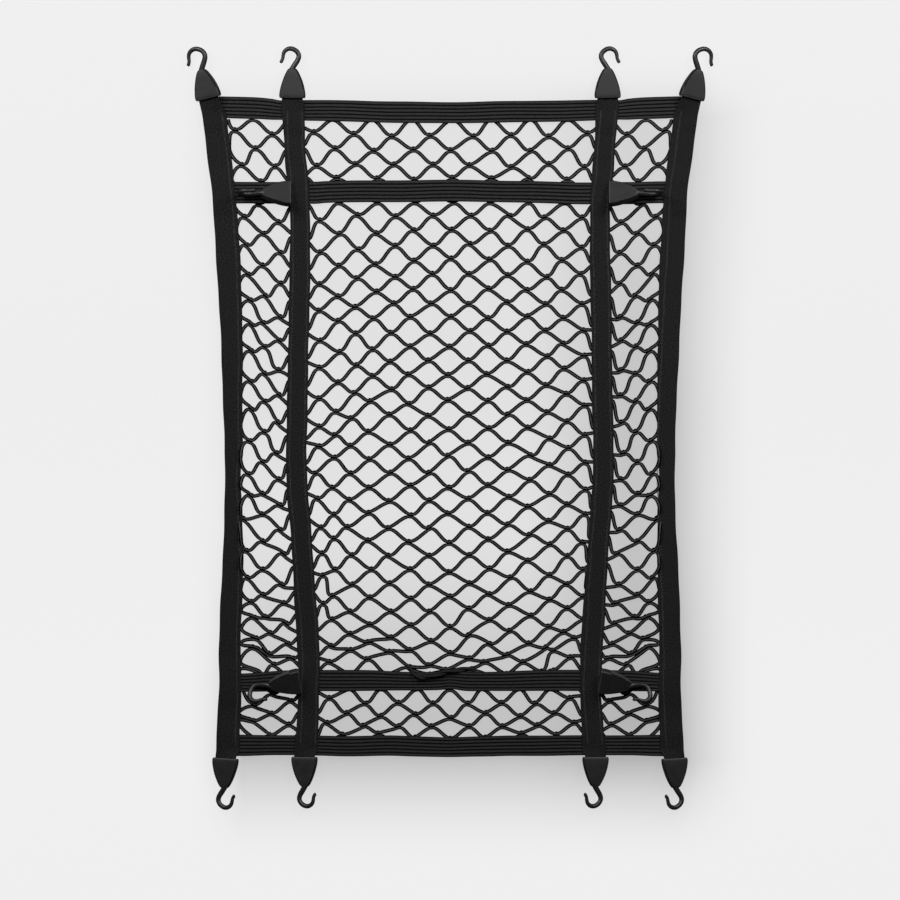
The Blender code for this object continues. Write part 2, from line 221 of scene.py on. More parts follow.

# The joints were read in the photograph, row by row from the top, to a whole millimetre.
# Odd half rows have their joints half a mesh aside of the even ones. Bands and straps hide some.
JOINTS = {
    1: HalfRow(
        ((358, 495), (295, 488)),
        ((-227, 492), (-160, 489), (-97, 485), (-33, 486), (39, 485), (102, 487), (164, 485), (229, 490)),
    ),
    2: HalfRow(
        ((324, 465),),
        ((-191, 465), (-127, 461), (-61, 463), (1, 462), (70, 461), (134, 461), (197, 465)),
    ),
    3: HalfRow(
        ((346, 437), (291, 435)),
        ((-222, 436), (-157, 439), (-94, 438), (-28, 438), (32, 437), (102, 434), (164, 439), (224, 434)),
    ),
    4: HalfRow(
        ((313, 410),),
        ((-189, 416), (-121, 415), (-59, 413), (4, 416), (69, 415), (132, 415), (195, 413)),
    ),
    5: HalfRow(((344, 393), (289, 390))),
    6: HalfRow(
        ((319, 372),),
        ((-184, 375), (-121, 375), (-58, 375), (6, 375), (67, 375), (131, 375), (191, 375)),
    ),
    7: HalfRow(
        ((342, 351), (285, 342)),
        ((-217, 345), (-154, 354), (-91, 352), (-28, 353), (35, 353), (99, 353), (157, 350), (220, 350)),
    ),
    8: HalfRow(((311, 323),)),
    9: HalfRow(
        ((339, 304), (282, 291)),
        ((-216, 292), (-153, 297), (-91, 303), (-28, 303), (33, 306), (97, 303), (156, 305), (219, 300)),
    ),
    10: HalfRow(((312, 270),)),
    11: HalfRow(
        ((336, 255), (282, 240)),
        ((-218, 239), (-155, 249), (-91, 251), (-29, 256), (31, 256), (96, 254), (161, 251), (217, 256)),
    ),
    12: HalfRow(((307, 219),)),
    13: HalfRow(
        ((332, 212), (283, 184)),
        ((-218, 195), (-158, 201), (-93, 207), (-31, 207), (31, 206), (95, 209), (160, 206), (220, 206)),
    ),
    14: HalfRow(((312, 175),)),
    15: HalfRow(
        ((330, 171), (284, 145)),
        ((-217, 145), (-157, 157), (-98, 158), (-33, 157), (33, 161), (95, 160), (158, 162), (222, 162)),
    ),
    16: HalfRow(((309, 135),)),
    17: HalfRow(
        ((330, 127), (285, 96)),
        ((-217, 100), (-156, 104), (-100, 110), (-36, 112), (31, 112), (95, 112), (162, 119), (223, 120)),
    ),
    18: HalfRow(((309, 90),)),
    19: HalfRow(
        ((332, 77), (284, 54)),
        ((-218, 49), (-159, 58), (-97, 64), (-36, 67), (29, 66), (96, 68), (160, 71), (222, 79)),
    ),
    20: HalfRow(((309, 44),)),
    21: HalfRow(
        ((330, 30), (287, 9)),
        ((-217, 2), (-164, 16), (-101, 22), (-36, 20), (31, 22), (96, 22), (162, 26), (224, 37)),
    ),
    22: HalfRow(((309, -7),)),
    23: HalfRow(
        ((334, -22), (290, -42)),
        ((-218, -31), (-166, -30), (-100, -28), (-35, -25), (30, -25), (97, -25), (166, -18), (224, -12)),
    ),
    24: HalfRow(((312, -57),)),
    25: HalfRow(
        ((336, -77), (285, -86)),
        ((-224, -76), (-166, -76), (-100, -75), (-35, -75), (30, -72), (96, -70), (166, -62), (225, -58)),
    ),
    26: HalfRow(((312, -110),)),
    27: HalfRow(
        ((332, -113), (283, -129)),
        (
            (-221, -118), (-168, -120), (-101, -122), (-35, -121),
            (30, -118), (98, -115), (166, -110), (226, -103),
        ),
    ),
    28: HalfRow(((312, -144),)),
    29: HalfRow(
        ((344, -152), (283, -170)),
        (
            (-215, -166), (-172, -165), (-103, -167), (-35, -167),
            (32, -165), (96, -161), (164, -155), (225, -144),
        ),
    ),
    30: HalfRow(((312, -189),)),
    31: HalfRow(
        ((339, -205), (277, -210)),
        (
            (-213, -209), (-164, -212), (-103, -213), (-35, -213),
            (32, -212), (96, -206), (166, -194), (220, -191),
        ),
    ),
    32: HalfRow(((312, -236),)),
    33: HalfRow(
        ((337, -250), (281, -261)),
        (
            (-212, -246), (-163, -261), (-101, -259), (-35, -261),
            (33, -259), (101, -249), (165, -245), (222, -236),
        ),
    ),
    34: HalfRow(((312, -278),)),
    35: HalfRow(
        ((331, -290), (276, -292)),
        (
            (-211, -293), (-166, -306), (-98, -306), (-34, -306),
            (31, -301), (98, -295), (166, -286), (222, -281),
        ),
    ),
    36: HalfRow(((307, -315),)),
    37: HalfRow(
        ((326, -316), (273, -326)),
        (
            (-229, -341), (-167, -343), (-98, -349), (-31, -355),
            (30, -346), (99, -338), (164, -331), (222, -318),
        ),
    ),
    38: HalfRow(
        ((299, -342),),
        ((-199, -363), (-137, -357), (-66, -370), (1, -375), (66, -360), (131, -359), (189, -340)),
    ),
    39: HalfRow(
        ((322, -351), (269, -360)),
        (
            (-223, -380), (-165, -370), (-102, -373), (-34, -395),
            (32, -384), (95, -378), (159, -366), (207, -350),
        ),
    ),
    40: HalfRow(
        ((304, -375),),
        ((-201, -390), (-138, -385), (-69, -398), (-8, -403), (57, -390), (121, -390), (171, -371)),
    ),
    41: HalfRow(
        ((327, -366), (262, -384)),
        (
            (-226, -406), (-166, -410), (-103, -411), (-33, -411),
            (37, -402), (94, -410), (152, -406), (200, -382),
        ),
    ),
    42: HalfRow(((294, -394),)),
    43: HalfRow(((315, -411), (264, -423))),
    44: HalfRow(
        ((296, -443),),
        ((-169, -434), (-114, -434), (-56, -434), (-1, -435), (56, -434), (114, -434), (169, -434)),
    ),
    45: HalfRow(
        ((327, -462), (264, -455)),
        (
            (-201, -450), (-141, -459), (-86, -458), (-28, -459),
            (29, -459), (86, -458), (142, -459), (199, -450),
        ),
    ),
    46: HalfRow(
        ((297, -476),),
        ((-172, -475), (-116, -480), (-58, -477), (1, -483), (59, -475), (117, -480), (174, -475)),
    ),
    47: HalfRow(
        ((328, -488), (268, -494)),
        (
            (-206, -491), (-144, -496), (-86, -497), (-31, -497),
            (32, -497), (87, -497), (146, -495), (207, -491),
        ),
    ),
    48: HalfRow(
        ((302, -511),),
        ((-179, -511), (-119, -509), (-58, -516), (1, -518), (59, -516), (119, -509), (177, -511)),
    ),
}
# How far from the middle the net's side edge lies at some half rows.
SELVEDGE = {1: 369, 4: 363, 7: 357, 11: 353, 17: 349, 25: 348, 35: 348, 39: 347, 45: 351, 49: 352}
# More joints of the middle panel, by half row and column.
LONE_JOINTS = {(32, -3): (-191, -236), (34, -3): (-196, -280), (36, -3): (-197, -319)}
# The heights of the side edge's turns that don't lie midway between their joints, by half row.
EDGE_TURNS = {44: -404}
# The outermost joints that lie at a slant of their own, in degrees down toward the side edge.
EDGE_SLANTS = {43: 34}
# How far a side panel's cords carry on level past a joint at some half rows, as a share of the way.
SIDE_PULLS = {0: 0.85, 10: 0.9, 20: 1.0, 30: 0.88, 49: 0.72}
# How far a side panel's joints turn away from the net's middle, in degrees, by half row.
SIDE_SLANTS = {0: 8, 12: 13, 20: 16, 49: 16}
# The heights of the turns along the net's top and bottom edges.
TOP_TURN = 514
BOTTOM_TURN = -531


@dataclass(frozen=True)
class SmoothCurve:
    """A cubic curve through table points, whose slope at each comes from its neighbours."""

    places: np.ndarray
    values: np.ndarray

    @classmethod
    def through(cls, places: Sequence[float], values: Sequence[float]) -> "SmoothCurve":
        """Sort the points by place and keep them."""
        order = np.argsort(places)
        return cls(np.asarray(places, float)[order], np.asarray(values, float)[order])

    @classmethod
    def of_columns(cls, rows: Sequence[NamedTuple], along: str, *names: str) -> list["SmoothCurve"]:
        """The curve of each named column of a table over another column."""
        places = [getattr(row, along) for row in rows]
        return [cls.through(places, [getattr(row, name) for row in rows]) for name in names]

    @classmethod
    def of_listed(cls, values: dict[int, float]) -> "SmoothCurve":
        """The curve of values that are listed by place."""
        return cls.through(list(values), list(values.values()))

    def __call__(self, at: float | np.ndarray) -> np.ndarray:
        """Read the curve.

        Args:
            at: One or more places, which are kept within the table's ends.

        Returns:
            The value at each place.
        """
        places, values = self.places, self.values
        at = np.clip(np.asarray(at, float), places[0], places[-1])
        after = np.clip(np.searchsorted(places, at), 1, len(places) - 1)
        slopes = np.empty_like(values)
        slopes[1:-1] = (values[2:] - values[:-2]) / (places[2:] - places[:-2])
        slopes[0] = (values[1] - values[0]) / (places[1] - places[0])
        slopes[-1] = (values[-1] - values[-2]) / (places[-1] - places[-2])
        span = places[after] - places[after - 1]
        t = (at - places[after - 1]) / span
        ease = smooth_step(t)
        bend_in = t * (1 - t) ** 2 * span * slopes[after - 1]
        bend_out = t * t * (1 - t) * span * slopes[after]
        return values[after - 1] * (1 - ease) + values[after] * ease + bend_in - bend_out


def smooth_step(share: float | np.ndarray) -> np.ndarray:
    """Ease a share between 0 and 1, and keep it there."""
    share = np.clip(share, 0.0, 1.0)
    return share * share * (3 - 2 * share)


def unit(vectors: np.ndarray) -> np.ndarray:
    """Give each row of an array the length 1."""
    return vectors / np.linalg.norm(vectors, axis=-1, keepdims=True)


def travelled(points: np.ndarray) -> np.ndarray:
    """How far along a line of points each one lies."""
    return np.concatenate([[0.0], np.cumsum(np.linalg.norm(np.diff(points, axis=0), axis=1))])


def directions(path: np.ndarray) -> tuple[np.ndarray, np.ndarray, np.ndarray]:
    """The ways ahead, level across and up off the path, at each of its points.

    Args:
        path: The points.

    Returns:
        Three arrays of unit vectors.
    """
    ahead = unit(np.gradient(path, axis=0))
    across = unit(np.cross(UP, ahead))
    return ahead, across, np.cross(ahead, across)


def slow_waves(at: float | np.ndarray, lengths: Sequence[float], phases: np.ndarray) -> float | np.ndarray:
    """The sum of some long waves at a place, each with its own length and phase."""
    return sum(np.sin(at / length + phase) for length, phase in zip(lengths, phases))


def arc(start: np.ndarray, out: np.ndarray, end: np.ndarray, into: np.ndarray, steps: int) -> np.ndarray:
    """A cubic between two points with given directions.

    Args:
        start: The first point.
        out: The direction and pull at the first point.
        end: The last point.
        into: The direction and pull at the last point.
        steps: How many points to return.

    Returns:
        The points after the first one, up to and with the last.
    """
    t = (np.arange(1, steps + 1) / steps)[:, None]
    ease = smooth_step(t)
    return start * (1 - ease) + end * ease + t * (1 - t) ** 2 * out - t * t * (1 - t) * into


# ---------------------------------------------------------------------------------------- meshes


def add_object(name: str, data: bpy.types.ID) -> bpy.types.Object:
    """Put a mesh, a light or a camera in the scene.

    Args:
        name: The object's name.
        data: What the object holds.

    Returns:
        The new object.
    """
    added = bpy.data.objects.new(name, data)
    bpy.context.scene.collection.objects.link(added)
    return added


@dataclass
class Skin:
    """Points, faces and UV coordinates of one mesh while it is gathered, in millimetres."""

    points: list[np.ndarray] = field(default_factory=list)
    faces: list[list[int]] = field(default_factory=list)
    uvs: list[np.ndarray] = field(default_factory=list)
    count: int = 0

    def add_loft(self, rings: np.ndarray, along: np.ndarray, around: np.ndarray) -> None:
        """Add a closed skin over rings of points, with flat ends.

        Args:
            rings: Stations by points by 3. Each ring turns right-handed about the way they follow.
            along: The UV map's first value at each station.
            around: The UV map's second value at each point of a ring and once more at its start.
        """
        stations, sides = rings.shape[:2]
        index = self.count + np.arange(stations * sides).reshape(stations, sides)
        beside = np.roll(index, -1, axis=1)
        quads = np.stack([index[:-1], beside[:-1], beside[1:], index[1:]], axis=-1)
        self.faces += quads.reshape(-1, 4).tolist()
        here, first = np.meshgrid(along[:-1], around[:-1], indexing="ij")
        ahead, second = np.meshgrid(along[1:], around[1:], indexing="ij")
        corners = np.stack([here, first, here, second, ahead, second, ahead, first], axis=-1)
        self.uvs.append(corners.reshape(-1, 2))
        self.faces += [index[0, ::-1].tolist(), index[-1].tolist()]
        self.uvs.append(np.stack([np.full(sides, along[0]), around[:-1][::-1]], axis=-1))
        self.uvs.append(np.stack([np.full(sides, along[-1]), around[:-1]], axis=-1))
        self.points.append(rings.reshape(-1, 3))
        self.count += stations * sides

    def add_tube(self, path: np.ndarray, width: np.ndarray, height: np.ndarray, sides: int) -> None:
        """Add an oval tube along a path.

        Args:
            path: The centre line.
            width: The tube's width at each point, across the path and level.
            height: The tube's height at each point.
            sides: How many sides the tube has.
        """
        _, across, up = directions(path)
        angle = (math.tau * np.arange(sides) / sides)[:, None]
        rings = (
            path[:, None]
            + across[:, None] * (np.cos(angle) * width[:, None, None] / 2)
            + up[:, None] * (np.sin(angle) * height[:, None, None] / 2)
        )
        self.add_loft(rings, travelled(path), np.arange(sides + 1) / sides)

    def add_copies(self, shape: "Skin", origins: np.ndarray, axes: np.ndarray) -> None:
        """Add a copy of a small shape at each of many places.

        Args:
            shape: The shape to repeat.
            origins: Where each copy's origin goes.
            axes: For each copy, the directions of its x, y and z, as rows.
        """
        points = np.concatenate(shape.points)
        uvs = np.concatenate(shape.uvs)
        for origin, turn in zip(origins, axes):
            self.points.append(origin + points @ turn)
            self.faces += [[self.count + corner for corner in face] for face in shape.faces]
            self.uvs.append(uvs)
            self.count += len(points)

    def to_piece(self, name: str) -> bpy.types.Object:
        """Make the mesh in metres, smooth shaded, on an object at the origin.

        Args:
            name: The piece's name.

        Returns:
            The new object.
        """
        mesh = bpy.data.meshes.new(name)
        mesh.from_pydata((np.concatenate(self.points) * MM).tolist(), [], self.faces)
        layer = mesh.uv_layers.new(name="UVMap")
        layer.data.foreach_set("uv", np.concatenate(self.uvs).ravel())
        mesh.shade_smooth()
        return add_object(name, mesh)


def rounded_bar(length: float, width: float, height: float) -> Skin:
    """A short bar along x with six sides and drawn-in ends, for a stitch or a knot.

    Args:
        length: The bar's length.
        width: Its width in the middle.
        height: Its height in the middle.

    Returns:
        The bar, with its middle at the origin.
    """
    places = np.array([-0.5, -0.34, 0.0, 0.34, 0.5]) * length
    sizes = np.array([0.25, 0.85, 1.0, 0.85, 0.25])
    level = np.zeros_like(places)
    skin = Skin()
    skin.add_tube(np.stack([places, level, level], axis=-1), width * sizes, height * sizes, sides=6)
    return skin


def deselect_all() -> None:
    """Leave nothing selected, in object mode."""
    if bpy.context.mode != "OBJECT":
        bpy.ops.object.mode_set(mode="OBJECT")
    bpy.ops.object.select_all(action="DESELECT")


def apply_modifier(piece: bpy.types.Object, kind: str, **settings: object) -> None:
    """Add a modifier to a piece and apply it.

    Args:
        piece: The piece.
        kind: The modifier's type.
        settings: The modifier's settings by name.
    """
    deselect_all()
    piece.select_set(True)
    bpy.context.view_layer.objects.active = piece
    modifier = piece.modifiers.new(kind.title(), kind)
    for name, value in settings.items():
        setattr(modifier, name, value)
    bpy.ops.object.modifier_apply(modifier=modifier.name)


# ------------------------------------------------------------------------------------- materials


def linear(colour: str) -> tuple[float, float, float, float]:
    """Turn an sRGB colour to linear RGBA.

    Args:
        colour: The colour in hex, such as #202020.

    Returns:
        Red, green, blue and a full alpha.
    """
    channels = [int(colour[at : at + 2], 16) / 255 for at in (1, 3, 5)]
    curve = [c / 12.92 if c <= 0.04045 else ((c + 0.055) / 1.055) ** 2.4 for c in channels]
    return (*curve, 1.0)


class Ramp(NamedTuple):
    """How a value goes from low to high while another goes from start to end."""

    start: float
    end: float
    low: float = 0.0
    high: float = 1.0


@dataclass(frozen=True)
class Nodes:
    """A material's node tree, with short ways to add what its patterns are made of."""

    tree: bpy.types.NodeTree

    def add(self, kind: str, inputs: dict, **settings: object) -> bpy.types.Node:
        """Add a shader node with its constants, links and settings.

        Args:
            kind: The node's type without its ShaderNode prefix.
            inputs: A value or another node's output for each input, by name or number.
            settings: The node's properties by name.

        Returns:
            The new node.
        """
        node = self.tree.nodes.new(f"ShaderNode{kind}")
        for name, value in settings.items():
            setattr(node, name, value)
        for socket, value in inputs.items():
            if isinstance(value, bpy.types.NodeSocket):
                self.tree.links.new(value, node.inputs[socket])
            else:
                node.inputs[socket].default_value = value
        return node

    def math(self, operation: str, *values: object) -> bpy.types.NodeSocket:
        """The result of a maths node."""
        return self.add("Math", dict(enumerate(values)), operation=operation).outputs[0]

    def times(self, first: object, second: object) -> bpy.types.NodeSocket:
        """The product of two values."""
        return self.math("MULTIPLY", first, second)

    def scaled(self, value: object, factor: float, offset: object) -> bpy.types.NodeSocket:
        """A value times a factor, plus an offset."""
        return self.math("MULTIPLY_ADD", value, factor, offset)

    def share(self, value: object) -> bpy.types.NodeSocket:
        """A value from -1 to 1, brought to 0 to 1."""
        return self.scaled(value, 0.5, 0.5)

    def wave(self, value: object, pitch: float) -> bpy.types.NodeSocket:
        """A sine of a length in mm, from -1 to 1, that repeats with the pitch."""
        return self.math("SINE", self.times(value, math.tau / pitch))

    def ramp(self, value: object, ramp: Ramp, easing: str = "SMOOTHSTEP") -> bpy.types.NodeSocket:
        """What a ramp makes of a value."""
        inputs = dict(enumerate((value, *ramp)))
        return self.add("MapRange", inputs, interpolation_type=easing).outputs[0]

    def noise(self, place: object, scale: float, detail: float) -> bpy.types.NodeSocket:
        """An uneven value between 0 and 1 at each place."""
        return self.add("TexNoise", {"Vector": place, "Scale": scale, "Detail": detail}).outputs[0]

    def object_place(self) -> bpy.types.NodeSocket:
        """The place on the piece, in metres."""
        return self.add("TexCoord", {}).outputs["Object"]

    def uv_place(self) -> bpy.types.NodeSocket:
        """The place on the piece's UV map."""
        return self.add("UVMap", {}, uv_map="UVMap").outputs[0]

    def parts(self, place: bpy.types.NodeSocket) -> tuple[bpy.types.NodeSocket, bpy.types.NodeSocket]:
        """The first two numbers of a place."""
        split = self.add("SeparateXYZ", {0: place})
        return split.outputs[0], split.outputs[1]


class Pattern(NamedTuple):
    """What a finish's nodes give: a share of its light colour, a height, and its roughness."""

    colour: bpy.types.NodeSocket
    height: bpy.types.NodeSocket
    roughness: bpy.types.NodeSocket | None = None


@dataclass(frozen=True)
class Finish:
    """A finish with its shader's constants, and how deep its pattern is. Each adds its own pattern."""

    name: str
    dark: str
    light: str
    roughness: float
    specular: float
    depth: float = 0.1

    def material(self) -> bpy.types.Material:
        """The finish's material, made the first time it is asked for."""
        return bpy.data.materials.get(self.name) or self.new_material()

    def new_material(self) -> bpy.types.Material:
        """Make the finish's material, its colour and relief from its pattern.

        Returns:
            The material.
        """
        material = bpy.data.materials.new(self.name)
        material.use_nodes = True
        material.diffuse_color = linear(self.light)
        nodes = Nodes(material.node_tree)
        shader = nodes.tree.nodes["Principled BSDF"]
        shader.inputs["Roughness"].default_value = self.roughness
        shader.inputs["Specular IOR Level"].default_value = self.specular
        pattern = self.pattern(nodes)
        colours = {0: pattern.colour, 6: linear(self.dark), 7: linear(self.light)}
        mix = nodes.add("Mix", colours, data_type="RGBA")
        nodes.tree.links.new(mix.outputs[2], shader.inputs["Base Color"])
        bump = nodes.add("Bump", {"Strength": 1.0, "Distance": self.depth * MM, "Height": pattern.height})
        nodes.tree.links.new(bump.outputs[0], shader.inputs["Normal"])
        if pattern.roughness is not None:
            nodes.tree.links.new(pattern.roughness, shader.inputs["Roughness"])
        return material

    def pattern(self, nodes: Nodes) -> Pattern:
        """The finish's pattern, which each real finish gives."""
        raise NotImplementedError


@dataclass(frozen=True)
class BraidedCord(Finish):
    """Polyester braid over rubber: matt, fuzzy, with a painted highlight along its crown."""

    depth: float = 0.25
    strand_pitch: float = 3.4
    rounds: float = 3.0
    # Where around the cord the painted highlight of its crown starts and where it is full.
    highlight_stripe: Ramp = Ramp(0.91, 0.995)
    # How much the braid's strands break up the crown's painted highlight.
    strand_highlight_share: float = 0.5
    least_highlight_share: float = 0.65

    def pattern(self, nodes: Nodes) -> Pattern:
        """A painted highlight along the crown over darker flanks, and the braid's crossing strands.

        Args:
            nodes: The material's nodes.

        Returns:
            The pattern.
        """
        along, around = nodes.parts(nodes.uv_place())
        crown = nodes.math("SINE", nodes.times(around, math.tau))
        turned = nodes.times(around, self.rounds * self.strand_pitch)
        rising = nodes.wave(nodes.math("ADD", along, turned), self.strand_pitch)
        falling = nodes.wave(nodes.math("SUBTRACT", along, turned), self.strand_pitch)
        braid = nodes.share(nodes.times(rising, falling))
        # Painted highlight along the cord's crown, where the light from above would catch it; the flanks
        # stay dark as painted shade.
        painted_crown_highlight = nodes.ramp(crown, self.highlight_stripe)
        return Pattern(nodes.times(painted_crown_highlight, nodes.scaled(braid, self.strand_highlight_share, self.least_highlight_share)), braid)


@dataclass(frozen=True)
class RibbedElastic(Finish):
    """Woven elastic: polyester-covered rubber ribs, with painted shade in the grooves between them."""

    depth: float = 0.18
    thread_pitch: float = 1.3
    thread_shade: float = 0.15
    # Painted shade: the grooves between the ribs dark, their crests light.
    crest: Ramp = Ramp(0.25, 0.95)
    blotch_scale: float = 0.35
    blotch_tone: float = 0.5
    least_tone: float = 0.7

    def pattern(self, nodes: Nodes) -> Pattern:
        """Painted shade in the grooves between the ribs, and the filling threads across them.

        Args:
            nodes: The material's nodes.

        Returns:
            The pattern.
        """
        place = nodes.uv_place()
        along, across = nodes.parts(place)
        rib = nodes.math("ABSOLUTE", nodes.math("SINE", nodes.times(across, math.pi)))
        fill = nodes.share(nodes.wave(along, self.thread_pitch))
        blotches = nodes.noise(place, self.blotch_scale, detail=3.0)
        uneven = nodes.scaled(blotches, self.blotch_tone, self.least_tone)
        shade = nodes.times(nodes.scaled(fill, self.thread_shade, 1 - self.thread_shade), uneven)
        # The ribs' crests light and the grooves dark, as painted shade.
        return Pattern(nodes.times(nodes.ramp(rib, self.crest), shade), fill)


@dataclass(frozen=True)
class WovenWebbing(Finish):
    """Plain-woven nylon webbing: fine, matt, its ribs across the strap."""

    depth: float = 0.3
    rib_pitch: float = 1.7
    end_pitch: float = 2.1
    thread_shade: float = 0.35
    blotch_scale: float = 0.5
    wear: Ramp = Ramp(0.35, 0.65, 0.0, 0.65)

    def pattern(self, nodes: Nodes) -> Pattern:
        """The plain weave, with uneven threads.

        Args:
            nodes: The material's nodes.

        Returns:
            The pattern.
        """
        place = nodes.uv_place()
        along, across = nodes.parts(place)
        over = nodes.times(nodes.wave(along, 2 * self.rib_pitch), nodes.wave(across, 2 * self.end_pitch))
        weave = nodes.share(over)
        worn = nodes.ramp(nodes.noise(place, self.blotch_scale, detail=4.0), self.wear, "LINEAR")
        return Pattern(nodes.scaled(weave, self.thread_shade, worn), weave)


@dataclass(frozen=True)
class MouldedNylon(Finish):
    """Injection-moulded nylon from a spark-eroded mould: satin, with a fine grain and soft blotches."""

    depth: float = 0.06
    grain: float = 0.7
    blotch: float = 11.0
    blotch_tone: float = 0.8
    # A painted highlight along sharp edges, where they would catch the light.
    painted_edge_highlight: Ramp = Ramp(0.52, 0.62, 0.0, 0.5)
    roughness_spread: float = 0.22

    def pattern(self, nodes: Nodes) -> Pattern:
        """The plastic's grain, its blotches, and a painted highlight along its edges.

        Args:
            nodes: The material's nodes.

        Returns:
            The pattern.
        """
        place = nodes.object_place()
        fine = nodes.noise(place, 1 / (self.grain * MM), detail=2.0)
        broad = nodes.noise(place, 1 / (self.blotch * MM), detail=3.0)
        # Painted highlight on the sharp edges, from how pointed the surface is.
        point = nodes.add("NewGeometry", {}).outputs["Pointiness"]
        edge = nodes.ramp(point, self.painted_edge_highlight, "LINEAR")
        colour = nodes.math("ADD", nodes.times(broad, self.blotch_tone), edge)
        rough = nodes.scaled(broad, self.roughness_spread, self.roughness - self.roughness_spread / 2)
        return Pattern(colour, fine, rough)


@dataclass(frozen=True)
class SpunThread(Finish):
    """Spun polyester sewing thread: matt, a little lighter than the webbing that it is sewn into."""

    ply_pitch: float = 1.1

    def pattern(self, nodes: Nodes) -> Pattern:
        """The thread's plies, twisted along it.

        Args:
            nodes: The material's nodes.

        Returns:
            The pattern.
        """
        along, around = nodes.parts(nodes.uv_place())
        turned = nodes.scaled(around, self.ply_pitch, along)
        ply = nodes.share(nodes.wave(turned, self.ply_pitch))
        return Pattern(ply, ply)


CORD = BraidedCord("braided_polyester_cord", "#060606", "#4c4c4c", 0.85, 0.02)
SLACK_CORD = BraidedCord("slack_braided_cord", "#0a0a0a", "#2c2c2c", 0.95, 0.02, highlight_stripe=Ramp(0.2, 0.995))
RIBBED = RibbedElastic("ribbed_woven_elastic", "#050505", "#343434", 0.85, 0.05)
WEBBING = WovenWebbing("woven_nylon_webbing", "#0b0b0b", "#2c2c2c", 0.9, 0.04)
PLASTIC = MouldedNylon("moulded_black_nylon", "#1a1a1a", "#2a2a2a", 0.52, 0.28)
BAR_PLASTIC = MouldedNylon("satin_black_nylon", "#1a1a1a", "#282828", 0.42, 0.5)
# A darker copy of the cap plastic: painted shade for the caps' long chamfers.
EDGE_PLASTIC = MouldedNylon("painted_shade_black_nylon", "#0a0a0a", "#161616", 0.7, 0.08)
# A lighter copy of the cap plastic: a painted highlight for the caps' mouth rims and side walls.
HIGHLIGHT_PLASTIC = MouldedNylon("painted_highlight_black_nylon", "#2c2c2c", "#4c4c4c", 0.55, 0.3)
THREAD = SpunThread("spun_polyester_thread", "#1c1c1c", "#505050", 0.85, 0.05)
BOND_THREAD = SpunThread("bonding_thread", "#040404", "#1a1a1a", 0.9, 0.02)


def dress(piece: bpy.types.Object, finish: Finish, slot: Slot, *nodes: str) -> bpy.types.Object:
    """Give a piece its finish and its body, and hide the frame's nodes that it stands for.

    Args:
        piece: The piece.
        finish: Its finish.
        slot: Not used.
        nodes: The frame's nodes that the piece replaces.

    Returns:
        The same piece.
    """
    if not piece.data.materials:
        piece.data.materials.append(finish.material())
    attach(piece, BODY)
    if nodes:
        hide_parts(*nodes)
    LOG.info("%s: %d faces, %s", piece.name, len(piece.data.polygons), finish.name)
    return piece


# ------------------------------------------------------------------------------------------- net


